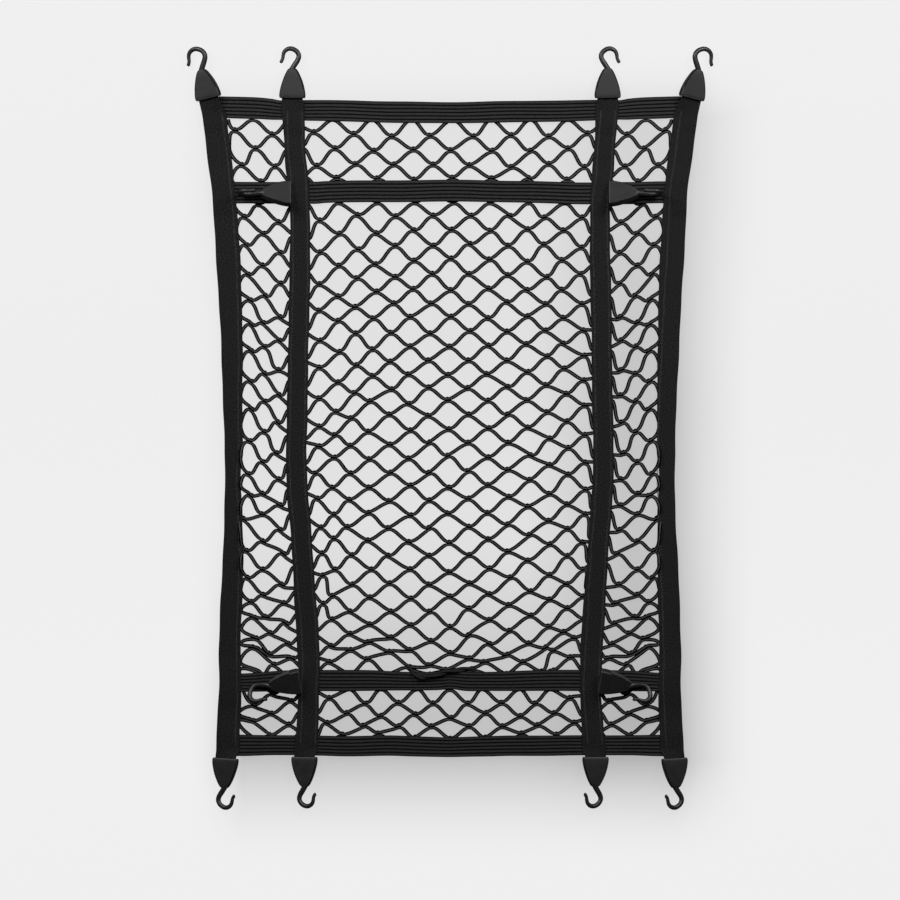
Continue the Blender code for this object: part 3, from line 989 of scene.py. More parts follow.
@dataclass
class ElasticNet:
    """The net: level cords that zigzag, each bonded to the next one up and down at every turn."""

    half_rows: int = 49
    outer_column: int = 6
    strap_column: int = 4
    joint_gap: float = 4.7
    joint_run: float = 2.2
    joint_width: float = 5.1
    joint_squeeze: int = 2
    middle_pull: float = 0.82
    strap_run: float = 5.0
    row_slant: float = 0.75
    side_slant_from: float = 3.2
    wander: float = 1.6
    slant_wander: float = 9.0
    knot_wander: float = 0.8
    seed: int = 12
    sides: int = 12
    steps: int = 10
    raised_rows: tuple[int, int] = (24, 32)
    raised_to: float = 10.4
    bars_at: tuple[float, float] = (-1.3, 1.2)
    bar_sink: float = 0.7
    knot_sink: float = 0.3

    def __post_init__(self) -> None:
        """Work out where every joint lies and how it slants."""
        self.columns = np.arange(-2 * self.outer_column, 2 * self.outer_column + 1) / 2
        self.last = len(self.columns) - 1
        self.random = np.random.default_rng(self.seed)
        self.side_pull = SmoothCurve.of_listed(SIDE_PULLS)
        self.joints = np.full((self.half_rows + 1, len(self.columns), 2), np.nan)
        for row, joints in JOINTS.items():
            self.set_read_joints(row, joints)
        for (row, column), place in LONE_JOINTS.items():
            self.joints[row, self.index(column)] = place
        self.fill_hidden_joints()
        self.lay_joints_under_straps()
        self.set_edges()
        self.slants = self.random.normal(0, math.radians(self.slant_wander), self.joints.shape[:2])
        for row, slant in EDGE_SLANTS.items():
            for side in Side:
                at = self.index(side.value * (self.outer_column - 0.5))
                self.slants[row, at] = side.value * math.radians(slant)

    def index(self, column: float) -> int:
        """A column's index, from its place in meshes from the middle."""
        return round(2 * (column + self.outer_column))

    def set_read_joints(self, row: int, joints: HalfRow) -> None:
        """Set the joints of a half row that were read.

        Args:
            row: The half row.
            joints: Its joints.
        """
        outermost = self.outer_column - (0.5 if row % 2 else 1.0)
        for number, (off_middle, height) in enumerate(joints.side):
            for side in Side:
                at = self.index(side.value * (outermost - number))
                self.joints[row, at] = side.value * off_middle, height
        first = -(len(joints.middle) - 1) / 2
        for number, place in enumerate(joints.middle):
            self.joints[row, self.index(first + number)] = place

    def fill_hidden_joints(self) -> None:
        """Put each joint that wasn't read between the rows that were, a little off."""
        indices = np.arange(self.last + 1)
        read = [row for row, joints in JOINTS.items() if joints.middle]
        whole = np.empty((len(read), len(indices), 2))
        for at, row in enumerate(read):
            known = indices[np.isfinite(self.joints[row, :, 0])]
            for axis in range(2):
                whole[at, :, axis] = SmoothCurve.through(known, self.joints[row, known, axis])(indices)
        for row in range(1, self.half_rows):
            for column in range(row % 2, len(indices), 2):
                if np.isnan(self.joints[row, column, 0]):
                    place = [np.interp(row, read, whole[:, column, axis]) for axis in range(2)]
                    self.joints[row, column] = place + self.random.normal(0, self.wander, 2)

    def lay_joints_under_straps(self) -> None:
        """Put the joints under each inner strap on its middle line and keep how long they run there."""
        self.runs = np.full(self.joints.shape[:2], self.joint_run)
        near, far = SmoothCurve.of_columns(INNER_STRAP, "height", "near", "far")
        for row in range(2, self.half_rows, 2):
            for side in Side:
                at = self.index(side.value * self.strap_column)
                height = self.joints[row, at, 1]
                self.joints[row, at, 0] = side.value * (near(height) + far(height)) / 2
                self.runs[row, at] = (far(height) - near(height)) / 2 - self.strap_run

    def set_edges(self) -> None:
        """Set the turns along the net's four edges."""
        edge = SmoothCurve.of_listed(SELVEDGE)
        for row, beside, height in ((0, 1, TOP_TURN), (self.half_rows, self.half_rows - 1, BOTTOM_TURN)):
            for column in range(row % 2, self.last + 1, 2):
                across = [at for at in (column - 1, column + 1) if 0 <= at <= self.last]
                self.joints[row, column] = self.joints[beside, across, 0].mean(), height
        for row in range(0, self.half_rows + 1, 2):
            for column, beside, sign in ((0, 1, -1), (self.last, self.last - 1, 1)):
                rows = [at for at in (row - 1, row + 1) if 0 < at < self.half_rows]
                height = EDGE_TURNS.get(row, self.joints[rows, beside, 1].mean())
                self.joints[row, column] = sign * edge(row), height
        self.joints[0, [0, self.last], 1] = TOP_TURN

    def place(self, row: int, column: int) -> np.ndarray:
        """Where a joint's middle lies, at half the cord's height."""
        return np.array([*self.joints[row, column], CORD_HEIGHT / 2])

    def axis(self, row: int, column: int) -> tuple[np.ndarray, np.ndarray]:
        """The level directions of a joint.

        Args:
            row: The joint's half row.
            column: The joint's index in the half columns.

        Returns:
            The unit vectors along its two cords to the right, and across them to the upper one.
        """
        low, high = max(column - 2, row % 2), min(column + 2, self.last - row % 2)
        run = self.joints[row, high] - self.joints[row, low]
        off_middle = self.columns[column]
        side_slant = math.radians(np.interp(row, list(SIDE_SLANTS), list(SIDE_SLANTS.values())))
        in_side_panel = float(smooth_step(abs(off_middle) - self.side_slant_from))
        slant = self.row_slant * math.atan2(run[1], run[0]) + self.slants[row, column]
        slant += in_side_panel * math.copysign(side_slant, off_middle)
        ahead = np.array([math.cos(slant), math.sin(slant), 0.0])
        return ahead, np.cross(UP, ahead)

    def turn(self, wave: int, column: int) -> tuple[int, int]:
        """The half row where a cord meets a joint at a column, and its side of it, 1 above."""
        row = wave if (wave + column) % 2 == 0 else wave - 1
        return row, 1 if row == wave else -1

    def passage(self, wave: int, column: int) -> tuple[np.ndarray, np.ndarray, np.ndarray]:
        """How a cord passes a joint, or turns at the net's side edge.

        Args:
            wave: The cord's number from the top, from 1.
            column: The joint's index in the half columns.

        Returns:
            Where the cord comes to the joint, where it leaves it, and its direction at both.
        """
        row, side = self.turn(wave, column)
        here = self.place(row, column)
        if column in (0, self.last):
            if self.raised_rows[0] <= row <= self.raised_rows[1]:
                here[2] = self.raised_to
            return here, here, np.array([0.0, side if column == 0 else -side, 0.0])
        ahead, over = self.axis(row, column)
        middle = here + side * self.joint_gap / 2 * over
        run = self.runs[row, column] * ahead
        return middle - run, middle + run, ahead

    def pull(self, wave: int, column: int) -> float:
        """How far a cord carries on level before it turns to a joint, as a share of the way there.

        Args:
            wave: The cord's number from the top, from 1.
            column: The index of the column that it comes to.

        Returns:
            The share.
        """
        off_middle = abs(self.columns[column - 1] + self.columns[column]) / 2
        if off_middle > self.strap_column:
            return float(self.side_pull(self.turn(wave, column)[0]))
        return self.middle_pull

    def cord(self, wave: int) -> tuple[np.ndarray, np.ndarray]:
        """One cord from the net's left edge to its right.

        Args:
            wave: The cord's number from the top, from 1.

        Returns:
            The points of its centre line, and its width at each.
        """
        step = np.arange(1, self.steps + 1)
        near_joint = np.clip(1 - np.minimum(step, self.steps - step) / self.joint_squeeze, 0, 1)
        arrive, leave, out = self.passage(wave, 0)
        points, squeezed = [arrive[None]], [np.zeros(1)]
        for column in range(1, self.last + 1):
            arrive, depart, into = self.passage(wave, column)
            reach = self.pull(wave, column) * np.linalg.norm(arrive - leave)
            points.append(arc(leave, out * reach, arrive, into * reach, self.steps))
            squeezed.append(near_joint)
            if column != self.last:
                points.append(depart[None])
                squeezed.append(np.ones(1))
            leave, out = depart, into
        width = CORD_WIDTH + (self.joint_width - CORD_WIDTH) * np.concatenate(squeezed)
        return np.concatenate(points), width

    def make_cords(self, name: str, waves: range) -> bpy.types.Object:
        """Args:
            name: The piece's name.
            waves: The numbers of its cords.

        Returns:
            The piece.
        """
        skin = Skin()
        for wave in waves:
            path, width = self.cord(wave)
            skin.add_tube(path, width, np.full(len(path), CORD_HEIGHT), self.sides)
        piece = dress(skin.to_piece(name), CORD, Slot.CORD, "net")
        return piece

    def make_bonds(self, name: str) -> bpy.types.Object:
        """Make the bonding stitches of every joint: two bars over the groove, a knot above them.

        Args:
            name: The piece's name.

        Returns:
            The piece.
        """
        bar = rounded_bar(length=4.4, width=1.0, height=0.8)
        knot = rounded_bar(length=5.0, width=3.0, height=2.9)
        on_top = (CORD_HEIGHT / 2 - self.bar_sink) * UP
        off_joint = (self.joint_gap + self.joint_width) / 2 - self.knot_sink
        skin = Skin()
        for row in range(1, self.half_rows):
            for column in range(1 + (row + 1) % 2, self.last, 2):
                ahead, over = self.axis(row, column)
                here = self.place(row, column)
                bars = np.array([here + at * ahead + on_top for at in self.bars_at])
                skin.add_copies(bar, bars, np.array([[over, -ahead, UP]] * len(bars)))
                crest = here + off_joint * over + self.random.normal(0, self.knot_wander) * ahead
                skin.add_copies(knot, crest[None], np.array([[ahead, over, UP]]))
        return dress(skin.to_piece(name), BOND_THREAD, Slot.CORD)

    def build(self) -> None:
        """Make the whole net."""
        middle = self.half_rows // 2 + 1
        self.make_cords("net_cords_top", range(1, middle + 1))
        self.make_cords("net_cords_bottom", range(middle + 1, self.half_rows + 1))
        self.make_bonds("net_bonds")


@dataclass
class CordBunch:
    """Two slack cords of the net that lie twisted together over the lower band's upper edge."""

    strand: float = 4.9
    sides: int = 12
    step: float = 1.4
    twist_radius: float = 2.0
    twist_pitch: float = 66.0
    # Left end to right end: x, y and height over the surface.
    route: tuple[tuple[float, float, float], ...] = (
        (-72, -396, 3.0),
        (-66, -402, 4.5),
        (-59, -409, 8.5),
        (-48, -414, 10.8),
        (-35, -413.5, 11.0),
        (-22, -410, 11.0),
        (-8, -406, 10.8),
        (4, -404, 9.0),
        (18, -402, 6.0),
        (32, -400.5, 3.6),
        (44, -399, 3.0),
    )

    def build(self) -> None:
        """Make both strands as one piece."""
        route = np.array(self.route, float)
        along = travelled(route)
        at = np.arange(0.0, along[-1], self.step)
        line = np.stack([SmoothCurve.through(along, axis)(at) for axis in route.T], axis=-1)
        _, across, up = directions(line)
        size = np.full(len(at), self.strand)
        skin = Skin()
        for start in (0.0, math.pi):
            angle = (start + math.tau * at / self.twist_pitch)[:, None]
            strand = line + self.twist_radius * (across * np.cos(angle) + up * np.sin(angle))
            skin.add_tube(strand, size, size, self.sides)
        dress(skin.to_piece("net_cord_bunch"), SLACK_CORD, Slot.CORD)


# ----------------------------------------------------------------------------------------- bands


@dataclass
class RibbedBand:
    """One band of ribbed elastic across the whole net."""

    name: str
    rows: tuple[BandRow, ...]
    seed: int
    ribs: int = 6
    step: float = 5.0
    points_a_rib: int = 8
    crest_power: float = 0.8
    edge_width: float = 1.4
    edge_round: float = 0.5
    under_width: float = 1.2
    under_round: float = 0.2
    wander: float = 0.45
    edge_calm: float = 0.4
    wave_lengths: tuple[float, ...] = (23.0, 41.0, 97.0)

    def ring(self, x: float, lower: float, upper: float, phase: np.ndarray) -> np.ndarray:
        """One section of the band, from its upper edge over the ribs and back underneath.

        Args:
            x: Where the section stands.
            lower: The height of the band's lower edge.
            upper: The height of the band's upper edge.
            phase: Where the slow waves of the ribs start.

        Returns:
            The section's points.
        """
        share = np.arange(self.ribs * self.points_a_rib + 1) / (self.ribs * self.points_a_rib)
        crest = np.abs(np.sin(np.pi * self.ribs * share)) ** self.crest_power
        drop = np.clip(1 - np.minimum(share, 1 - share) * (upper - lower) / self.edge_width, 0, 1)
        rise = BAND_TOP - RIB_HEIGHT + RIB_HEIGHT * crest - self.edge_round * drop * drop
        sway = self.edge_calm + (1 - self.edge_calm) * np.sin(np.pi * share)
        waves = slow_waves(x, self.wave_lengths, phase)
        across = upper + (lower - upper) * share + self.wander * waves * sway
        top = np.stack([np.full_like(share, x), across, rise], axis=-1)
        edge_level = BAND_UNDERSIDE + self.under_round
        under = [
            [x, across[-1], edge_level],
            [x, lower + self.under_width, BAND_UNDERSIDE],
            [x, upper - self.under_width, BAND_UNDERSIDE],
            [x, across[0], edge_level],
        ]
        return np.concatenate([top, under])

    def build(self) -> None:
        reach = self.rows[-1].x
        stations = np.linspace(-reach, reach, round(2 * reach / self.step) + 1)
        phase = np.random.default_rng(self.seed).uniform(0, math.tau, len(self.wave_lengths))
        lower, upper = SmoothCurve.of_columns(self.rows, "x", "lower", "upper")
        rings = [self.ring(x, float(lower(x)), float(upper(x)), phase) for x in stations]
        top = np.arange(self.ribs * self.points_a_rib + 1) / self.points_a_rib
        under = [self.ribs, self.ribs - self.under_round, self.under_round, 0.0, 0.0]
        skin = Skin()
        skin.add_loft(np.stack(rings), stations + reach, np.concatenate([top, under]))
        piece = dress(skin.to_piece(f"ribbed_band_{self.name}"), RIBBED, Slot.RIBBED, f"band_{self.name}")
        width = float(upper(0.0) - lower(0.0))


# ---------------------------------------------------------------------------------- caps and hooks


class CapSection(NamedTuple):
    """A cap's width and thickness at a distance from its neck, and how far it leans to the bar."""

    from_neck: float
    width: float
    thickness: float
    lean: float


class HookPoint(NamedTuple):
    """A point of a hook's centre line in its own plane, with the bar's radius."""

    sideways: float
    outward: float
    radius: float


@dataclass(frozen=True)
class HookPlace:
    """Where a cap's strap end lies on the left side and how it is turned, in mm and degrees.

    A hook may swing level out of its cap, turn about its cap's length, reach further by a factor,
    and have a longer tip. The overlap is how far the cap's mouth lies behind the strap's end.
    """

    x: float
    y: float
    z: float
    heading: float
    pitch: float = 0
    roll: float = 0
    swing: float = 0
    turn: float = 0
    overlap: float = 1.7
    reach: float = 1.0
    tip: float = 0.0

    def matrix(self, side: Side) -> Matrix:
        """The cap's place in millimetres, on one side of the net."""
        return (
            Matrix.Translation((-side.value * self.x, self.y, self.z))
            @ Matrix.Rotation(math.radians(-side.value * self.heading), 4, "Z")
            @ Matrix.Rotation(math.radians(self.pitch), 4, "X")
            @ Matrix.Rotation(math.radians(-side.value * self.roll), 4, "Y")
        )


HOOK_PLACES = {
    "outer_top": HookPlace(-401.6, 549.4, 13.8, 13, roll=-18, reach=1.11, tip=1.4),
    "inner_top": HookPlace(-262.2, 550.6, 9.6, -1, roll=-6, reach=1.01, tip=-0.6),
    "upper_side": HookPlace(-265.6, 389.3, 18.0, 89, pitch=5, roll=25, turn=73, overlap=1.0, reach=1.18),
    "lower_side": HookPlace(
        -253.6, -421.0, 19.5, 98, pitch=-1, roll=-24, swing=18, turn=56, overlap=5.0, reach=1.13
    ),
    "outer_bottom": HookPlace(-373.2, -550.9, 11.2, 177, roll=12, turn=14, tip=2.6),
    "inner_bottom": HookPlace(-242.0, -548.8, 10.2, 180, roll=9, turn=16, tip=2.6),
}


class CapPart(Enum):
    """The parts of a cap, in the order of its finishes: the face, a painted highlight, and painted shade.
    """

    FACE = 0
    HIGHLIGHT = 1
    CHAMFER = 2


@dataclass
class HookEnd:
    """A moulded cap over a strap's end, with its hook."""

    length: float = 49.3
    neck: float = 47.6
    bar_start: float = 47.0
    chamfer: float = 1.7
    edge: float = 0.35
    edge_angle: float = 30.0
    rim: float = 1.1
    rim_back: float = 0.1
    rim_slope: float = 0.9
    square_on: float = 0.99
    wall: float = 2.1
    pocket: float = 14.0
    neck_end: float = 0.5
    flat_across: float = 0.25
    wall_slope: float = 0.35
    chamfer_slope: float = 0.9
    cut_room: float = 0.05
    swing_start: float = 2.0
    swing_length: float = 8.0
    merge: float = 0.01
    finishes: tuple[Finish, ...] = (PLASTIC, HIGHLIGHT_PLASTIC, EDGE_PLASTIC)
    sections: tuple[CapSection, ...] = (
        CapSection(0, 10, 8.8, -0.6),
        CapSection(1.5, 14, 10, -0.6),
        CapSection(4, 17.5, 11.4, -0.5),
        CapSection(12, 25.5, 13, -0.3),
        CapSection(24, 34.5, 14, 0),
        CapSection(36, 40.5, 15, 0),
        CapSection(46, 43, 15, 0),
        CapSection(49.3, 41.5, 12.5, 0),
    )
    stations: tuple[float, ...] = (0, 0.8, 1.8, 3.2, 5.2, 8, 12, 16.5, 22, 28, 34, 40, 45, 48, 49.3)
    bar: tuple[HookPoint, ...] = (
        HookPoint(-2.8, -3.5, 3.8),
        HookPoint(-1.5, -0.8, 4.4),
        HookPoint(0.6, 2.6, 4.5),
        HookPoint(4.0, 8.0, 4.5),
        HookPoint(7.6, 13.8, 4.3),
        HookPoint(9.6, 20.2, 4.1),
        HookPoint(7.9, 26.0, 4.0),
        HookPoint(3.0, 30.6, 4.0),
        HookPoint(-3.6, 33.0, 3.9),
        HookPoint(-9.9, 31.8, 3.7),
        HookPoint(-14.6, 27.6, 3.3),
        HookPoint(-16.4, 21.8, 3.0),
        HookPoint(-17.0, 17.0, 2.8),
        HookPoint(-18.6, 13.2, 2.9),
        HookPoint(-19.7, 11.2, 2.9),
        HookPoint(-20.2, 10.1, 2.3),
        HookPoint(-20.5, 9.6, 1.1),
    )
    tip_start: int = 11

    def cap_mesh(self, side: Side) -> bpy.types.Mesh:
        """Model one cap in its own frame: its strap end at the origin, its neck along +Y.

        Args:
            side: The side of the net, because the cap leans to its hook's bar.

        Returns:
            The mesh, in millimetres.
        """
        deselect_all()
        bpy.ops.mesh.primitive_cube_add(size=1, location=(0, self.length / 2, 0))
        cap = bpy.context.object
        cap.scale = (1, self.length, 1)
        bpy.ops.object.transform_apply(location=True, rotation=False, scale=True)
        bpy.ops.object.mode_set(mode="EDIT")
        cuts = [self.length - from_neck for from_neck in self.stations]
        for y in cuts[1:-1]:
            bpy.ops.mesh.select_all(action="SELECT")
            bpy.ops.mesh.bisect(plane_co=(0, y, 0), plane_no=(0, 1, 0))
        curves = SmoothCurve.of_columns(self.sections, "from_neck", "width", "thickness", "lean")
        for from_neck, y in zip(self.stations, cuts):
            width, thickness, lean = (float(curve(from_neck)) for curve in curves)
            self.select(cap, "VERT", lambda vertex: abs(vertex.co.y - y) < self.cut_room)
            bpy.ops.transform.resize(value=(width, 1, thickness), center_override=(0, y, 0))
            bpy.ops.transform.translate(value=(-side.value * lean, 0, 0))
        self.select(cap, "EDGE", self.is_long)
        bpy.ops.mesh.bevel(offset=self.chamfer, segments=1, affect="EDGES", clamp_overlap=True)
        self.select(cap, "FACE", self.is_mouth)
        bpy.ops.mesh.inset(thickness=self.wall, depth=0)
        bpy.ops.mesh.extrude_region_move(TRANSFORM_OT_translate={"value": (0, self.pocket, 0)})
        bpy.ops.object.mode_set(mode="OBJECT")
        sharp = math.radians(self.edge_angle)
        apply_modifier(cap, "BEVEL", width=self.edge, segments=2, limit_method="ANGLE", angle_limit=sharp)
        cap.data.shade_smooth()
        apply_modifier(cap, "WEIGHTED_NORMAL", weight=80)
        self.paint(cap.data)
        return self.take_mesh(cap)

    def is_long(self, edge: bmesh.types.BMEdge) -> bool:
        """Whether an edge runs from a cap's mouth toward its neck."""
        return abs(edge.verts[0].co.y - edge.verts[1].co.y) > self.cut_room

    def is_mouth(self, face: bmesh.types.BMFace) -> bool:
        """Whether a face is the flat one at a cap's strap end."""
        return face.normal.y < -self.square_on and abs(face.calc_center_median().y) < self.cut_room

    def select(self, piece: bpy.types.Object, kind: str, wanted: Callable[[object], bool]) -> None:
        """Select the parts of a piece in edit mode that a test picks, and no others.

        Args:
            piece: The piece.
            kind: VERT, EDGE or FACE.
            wanted: The test.
        """
        bpy.ops.mesh.select_mode(type=kind)
        bpy.ops.mesh.select_all(action="DESELECT")
        shape = bmesh.from_edit_mesh(piece.data)
        for part in {"VERT": shape.verts, "EDGE": shape.edges, "FACE": shape.faces}[kind]:
            part.select = wanted(part)
        shape.select_flush_mode()
        bmesh.update_edit_mesh(piece.data)

    def paint(self, mesh: bpy.types.Mesh) -> None:
        """Give a cap its finishes: painted highlight on mouth rim and side walls, painted shade on long
        chamfers.

        Args:
            mesh: The cap's mesh.
        """
        for finish in self.finishes:
            mesh.materials.append(finish.material())
        for face in mesh.polygons:
            sideways, upward, y = abs(face.normal.x), abs(face.normal.z), face.center.y
            part = CapPart.FACE
            if -self.rim_back < y < self.rim and face.normal.y > -self.rim_slope:
                part = CapPart.HIGHLIGHT
            elif sideways > self.flat_across and self.pocket < y < self.length - self.neck_end:
                if upward < self.wall_slope:
                    part = CapPart.HIGHLIGHT
                elif upward < self.chamfer_slope:
                    part = CapPart.CHAMFER
            face.material_index = part.value

    def take_mesh(self, piece: bpy.types.Object) -> bpy.types.Mesh:
        """Keep a modelled mesh, smooth but for its sharp edges, and drop its object.

        Args:
            piece: The modelled object.

        Returns:
            Its mesh.
        """
        mesh = piece.data
        mesh.shade_smooth()
        bpy.data.objects.remove(piece)
        return mesh

    def bar_point(self, number: int, place: HookPlace, side: Side) -> Vector:
        """A point of one hook's centre line, in its cap's frame.

        Args:
            number: The point's number from the cap.
            place: How this hook lies, with its own turns.
            side: The side of the net.

        Returns:
            The point.
        """
        point = self.bar[number]
        past_bend = max(number - self.tip_start, 0) / (len(self.bar) - 1 - self.tip_start)
        swung_share = min(max(point.outward - self.swing_start, 0) / self.swing_length, 1)
        swung = Matrix.Rotation(math.radians(-side.value * place.swing * swung_share), 4, "Z")
        turned = Matrix.Rotation(math.radians(-side.value * place.turn), 4, "Y")
        outward = point.outward * place.reach + past_bend * place.tip
        flat = Vector((-side.value * point.sideways * place.reach, outward, 0))
        return swung @ turned @ flat + Vector((0, self.bar_start, 0))

    def hook_mesh(self, place: HookPlace, side: Side) -> bpy.types.Mesh:
        """Model one hook in its cap's frame: a round bar, flared at the cap and rounded at its tip.

        Args:
            place: How this hook lies, with its own turns.
            side: The side of the net.

        Returns:
            The mesh, in millimetres.
        """
        deselect_all()
        bpy.ops.curve.primitive_bezier_curve_add(location=(0, 0, 0))
        curve = bpy.context.object.data
        curve.dimensions = "3D"
        curve.resolution_u = 5
        curve.bevel_depth = 1.0
        curve.bevel_resolution = 6
        curve.use_fill_caps = True
        spline = curve.splines[0]
        spline.bezier_points.add(len(self.bar) - 2)
        for number, at in enumerate(spline.bezier_points):
            at.co = self.bar_point(number, place, side)
            at.radius = self.bar[number].radius
            at.handle_left_type = "AUTO"
            at.handle_right_type = "AUTO"
        bpy.ops.object.convert(target="MESH")
        bpy.ops.object.mode_set(mode="EDIT")
        bpy.ops.mesh.select_all(action="SELECT")
        bpy.ops.mesh.remove_doubles(threshold=self.merge)
        bpy.ops.mesh.normals_make_consistent(inside=False)
        bpy.ops.object.mode_set(mode="OBJECT")
        return self.take_mesh(bpy.context.object)

    def put(self, name: str, mesh: bpy.types.Mesh, matrix: Matrix, node: str, finish: Finish) -> None:
        """Place a modelled mesh and dress it in the frame's place.

        Args:
            name: The piece's name.
            mesh: The mesh, in millimetres, which becomes the piece's own.
            matrix: Where it goes, in millimetres.
            node: The frame's node that it replaces.
            finish: Its finish.
        """
        mesh.name = name
        mesh.transform(Matrix.Scale(MM, 4) @ matrix)
        dress(add_object(name, mesh), finish, Slot.PLASTIC, node)

    def build(self) -> None:
        """Make all twelve caps and hooks."""
        for side in Side:
            cap = self.cap_mesh(side)
            for name, place in HOOK_PLACES.items():
                where = place.matrix(side)
                ending = f"{name}_{side.word}"
                stretch = Matrix.Scale((self.neck + place.overlap) / self.length, 4, (0, 1, 0))
                over_end = where @ Matrix.Translation((0, -place.overlap, 0)) @ stretch
                self.put(f"cap_shell_{ending}", cap.copy(), over_end, f"cap_{ending}", PLASTIC)
                hook = self.hook_mesh(place, side)
                self.put(f"hook_bar_{ending}", hook, where, f"hook_{ending}", BAR_PLASTIC)
            bpy.data.meshes.remove(cap)


# ---------------------------------------------------------------------------------------- straps


@dataclass
class WebbingStrap:
    """One webbing strap from its top cap to its bottom cap, over the bands, with its stitching.

    A seam lies that far from the strap's right edge, or from its left edge where it is negative.
    """

    kind: str
    side: Side
    rows: tuple[StrapRow, ...]
    seams: tuple[float, ...]
    seed: int
    knot_step: float = 14.0
    step: float = 4.0
    end_width: float = 35.0
    end_depths: tuple[float, float] = (-2.5, 6.0)
    pocket_lift: float = 0.4
    band_room: float = 3.0
    climb: float = 24.0
    edge_wander: float = 0.35
    wave_lengths: tuple[float, ...] = (13.0, 29.0, 71.0)
    calm_start: float = 12.0
    calm_length: float = 60.0
    stitch_pitch: float = 1.65
    stitch_width: float = 3.0
    stitch_overlap: float = 1.2
    stitch_rise: float = 0.1
    seam_start: float = 30.0
    # Over the strap from its right edge: the share of its width, and of its thickness there.
    section: tuple[tuple[float, float], ...] = (
        (0.0, 0.25), (0.012, 0.75), (0.05, 1.0), (0.12, 1.0), (0.25, 1.0), (0.4, 1.0), (0.5, 1.0),
        (0.6, 1.0), (0.75, 1.0), (0.88, 1.0), (0.95, 1.0), (0.988, 0.75), (1.0, 0.25),
    )

    def __post_init__(self) -> None:
        """Work out the strap's run: its stations, edges and directions."""
        self.ending = f"{self.kind}_{self.side.word}"
        self.at, edges = self.run()
        self.right, self.left = edges[:, 0], edges[:, 1]
        self.over = unit(self.left - self.right)
        self.width = float(np.linalg.norm(self.right - self.left, axis=1).mean())
        self.ahead = unit(np.gradient((self.right + self.left) / 2, axis=0))
        self.up = unit(np.cross(self.ahead, self.over))
        self.up *= np.sign(self.up[:, 2:3])

    def lift(self, heights: np.ndarray, x: np.ndarray) -> np.ndarray:
        """How high the strap's middle lies over the surface, climbing over each band.

        Args:
            heights: Places along the strap.
            x: The strap's middle at each.

        Returns:
            The level of the strap's middle at each.
        """
        climbed = np.zeros_like(heights)
        for rows in BANDS.values():
            lower, upper = (curve(x) for curve in SmoothCurve.of_columns(rows, "x", "lower", "upper"))
            beyond = np.maximum(lower - self.band_room - heights, heights - (upper + self.band_room))
            climbed = np.maximum(climbed, 1 - np.minimum(np.maximum(beyond, 0) / self.climb, 1))
        return STRAP_ON_NET + (STRAP_ON_BAND - STRAP_ON_NET) * smooth_step(climbed)

    def end(self, place: HookPlace) -> list[np.ndarray]:
        """The strap's two edges at a cap.

        Args:
            place: The cap's place.

        Returns:
            The edges at the cap's mouth and inside its pocket, right edge first.
        """
        turn = place.matrix(self.side)
        half = self.end_width / 2
        sections = []
        for depth in self.end_depths:
            ends = [np.array(turn @ Vector((across, depth, self.pocket_lift))) for across in (half, -half)]
            sections.append(np.stack(sorted(ends, key=lambda point: -point[0])))
        return sections

    def knots(self) -> np.ndarray:
        """The strap's right and left edges at each knot, from the top cap to the bottom one.

        Returns:
            Knots by edges by 3.
        """
        top, bottom = self.rows[0].height, self.rows[-1].height
        heights = np.linspace(top, bottom, round((top - bottom) / self.knot_step) + 1)
        curves = SmoothCurve.of_columns(self.rows, "height", "near", "far")
        near, far = (curve(heights) for curve in curves)
        level = self.lift(heights, self.side.value * (near + far) / 2)
        edges = (far, near) if self.side is Side.RIGHT else (-near, -far)
        run = np.stack([np.stack([edge, heights, level], axis=-1) for edge in edges], axis=1)
        first = self.end(HOOK_PLACES[f"{self.kind}_top"])[::-1]
        last = self.end(HOOK_PLACES[f"{self.kind}_bottom"])
        return np.concatenate([np.stack(first), run, np.stack(last)])

    def run(self) -> tuple[np.ndarray, np.ndarray]:
        """The strap's edges on a smooth curve through its knots.

        Returns:
            The distance along the strap at each station, and the right and left edge there.
        """
        knots = self.knots()
        along = travelled(knots.mean(axis=1))
        at = np.linspace(0.0, along[-1], round(along[-1] / self.step) + 1)
        columns = knots.reshape(len(knots), 6).T
        edges = np.stack([SmoothCurve.through(along, column)(at) for column in columns], axis=-1)
        edges = edges.reshape(-1, 2, 3)
        phases = np.random.default_rng(self.seed).uniform(0, math.tau, (2, len(self.wave_lengths)))
        free = smooth_step((np.minimum(at, along[-1] - at) - self.calm_start) / self.calm_length)
        for edge in range(2):
            waves = slow_waves(at, self.wave_lengths, phases[edge])
            edges[:, edge, 0] += self.edge_wander * waves * free
        return at, edges

    def build(self) -> None:
        share, thickness = np.array(self.section).T
        half = self.up[:, None] * (STRAP_THICKNESS / 2 * thickness)[None, :, None]
        spread = self.right[:, None] + (self.left - self.right)[:, None] * share[None, :, None]
        rings = np.concatenate([spread + half, (spread - half)[:, ::-1]], axis=1)
        skin = Skin()
        skin.add_loft(rings, self.at, np.concatenate([share, share[::-1], [0.0]]) * self.width)
        name = f"webbing_{self.ending}"
        strap = dress(skin.to_piece(name), WEBBING, Slot.WEBBING, f"strap_{self.ending}")
        stitching = self.stitch()
        LOG.info("%s: %.0f mm long, %.1f mm wide", name, self.at[-1], self.width)

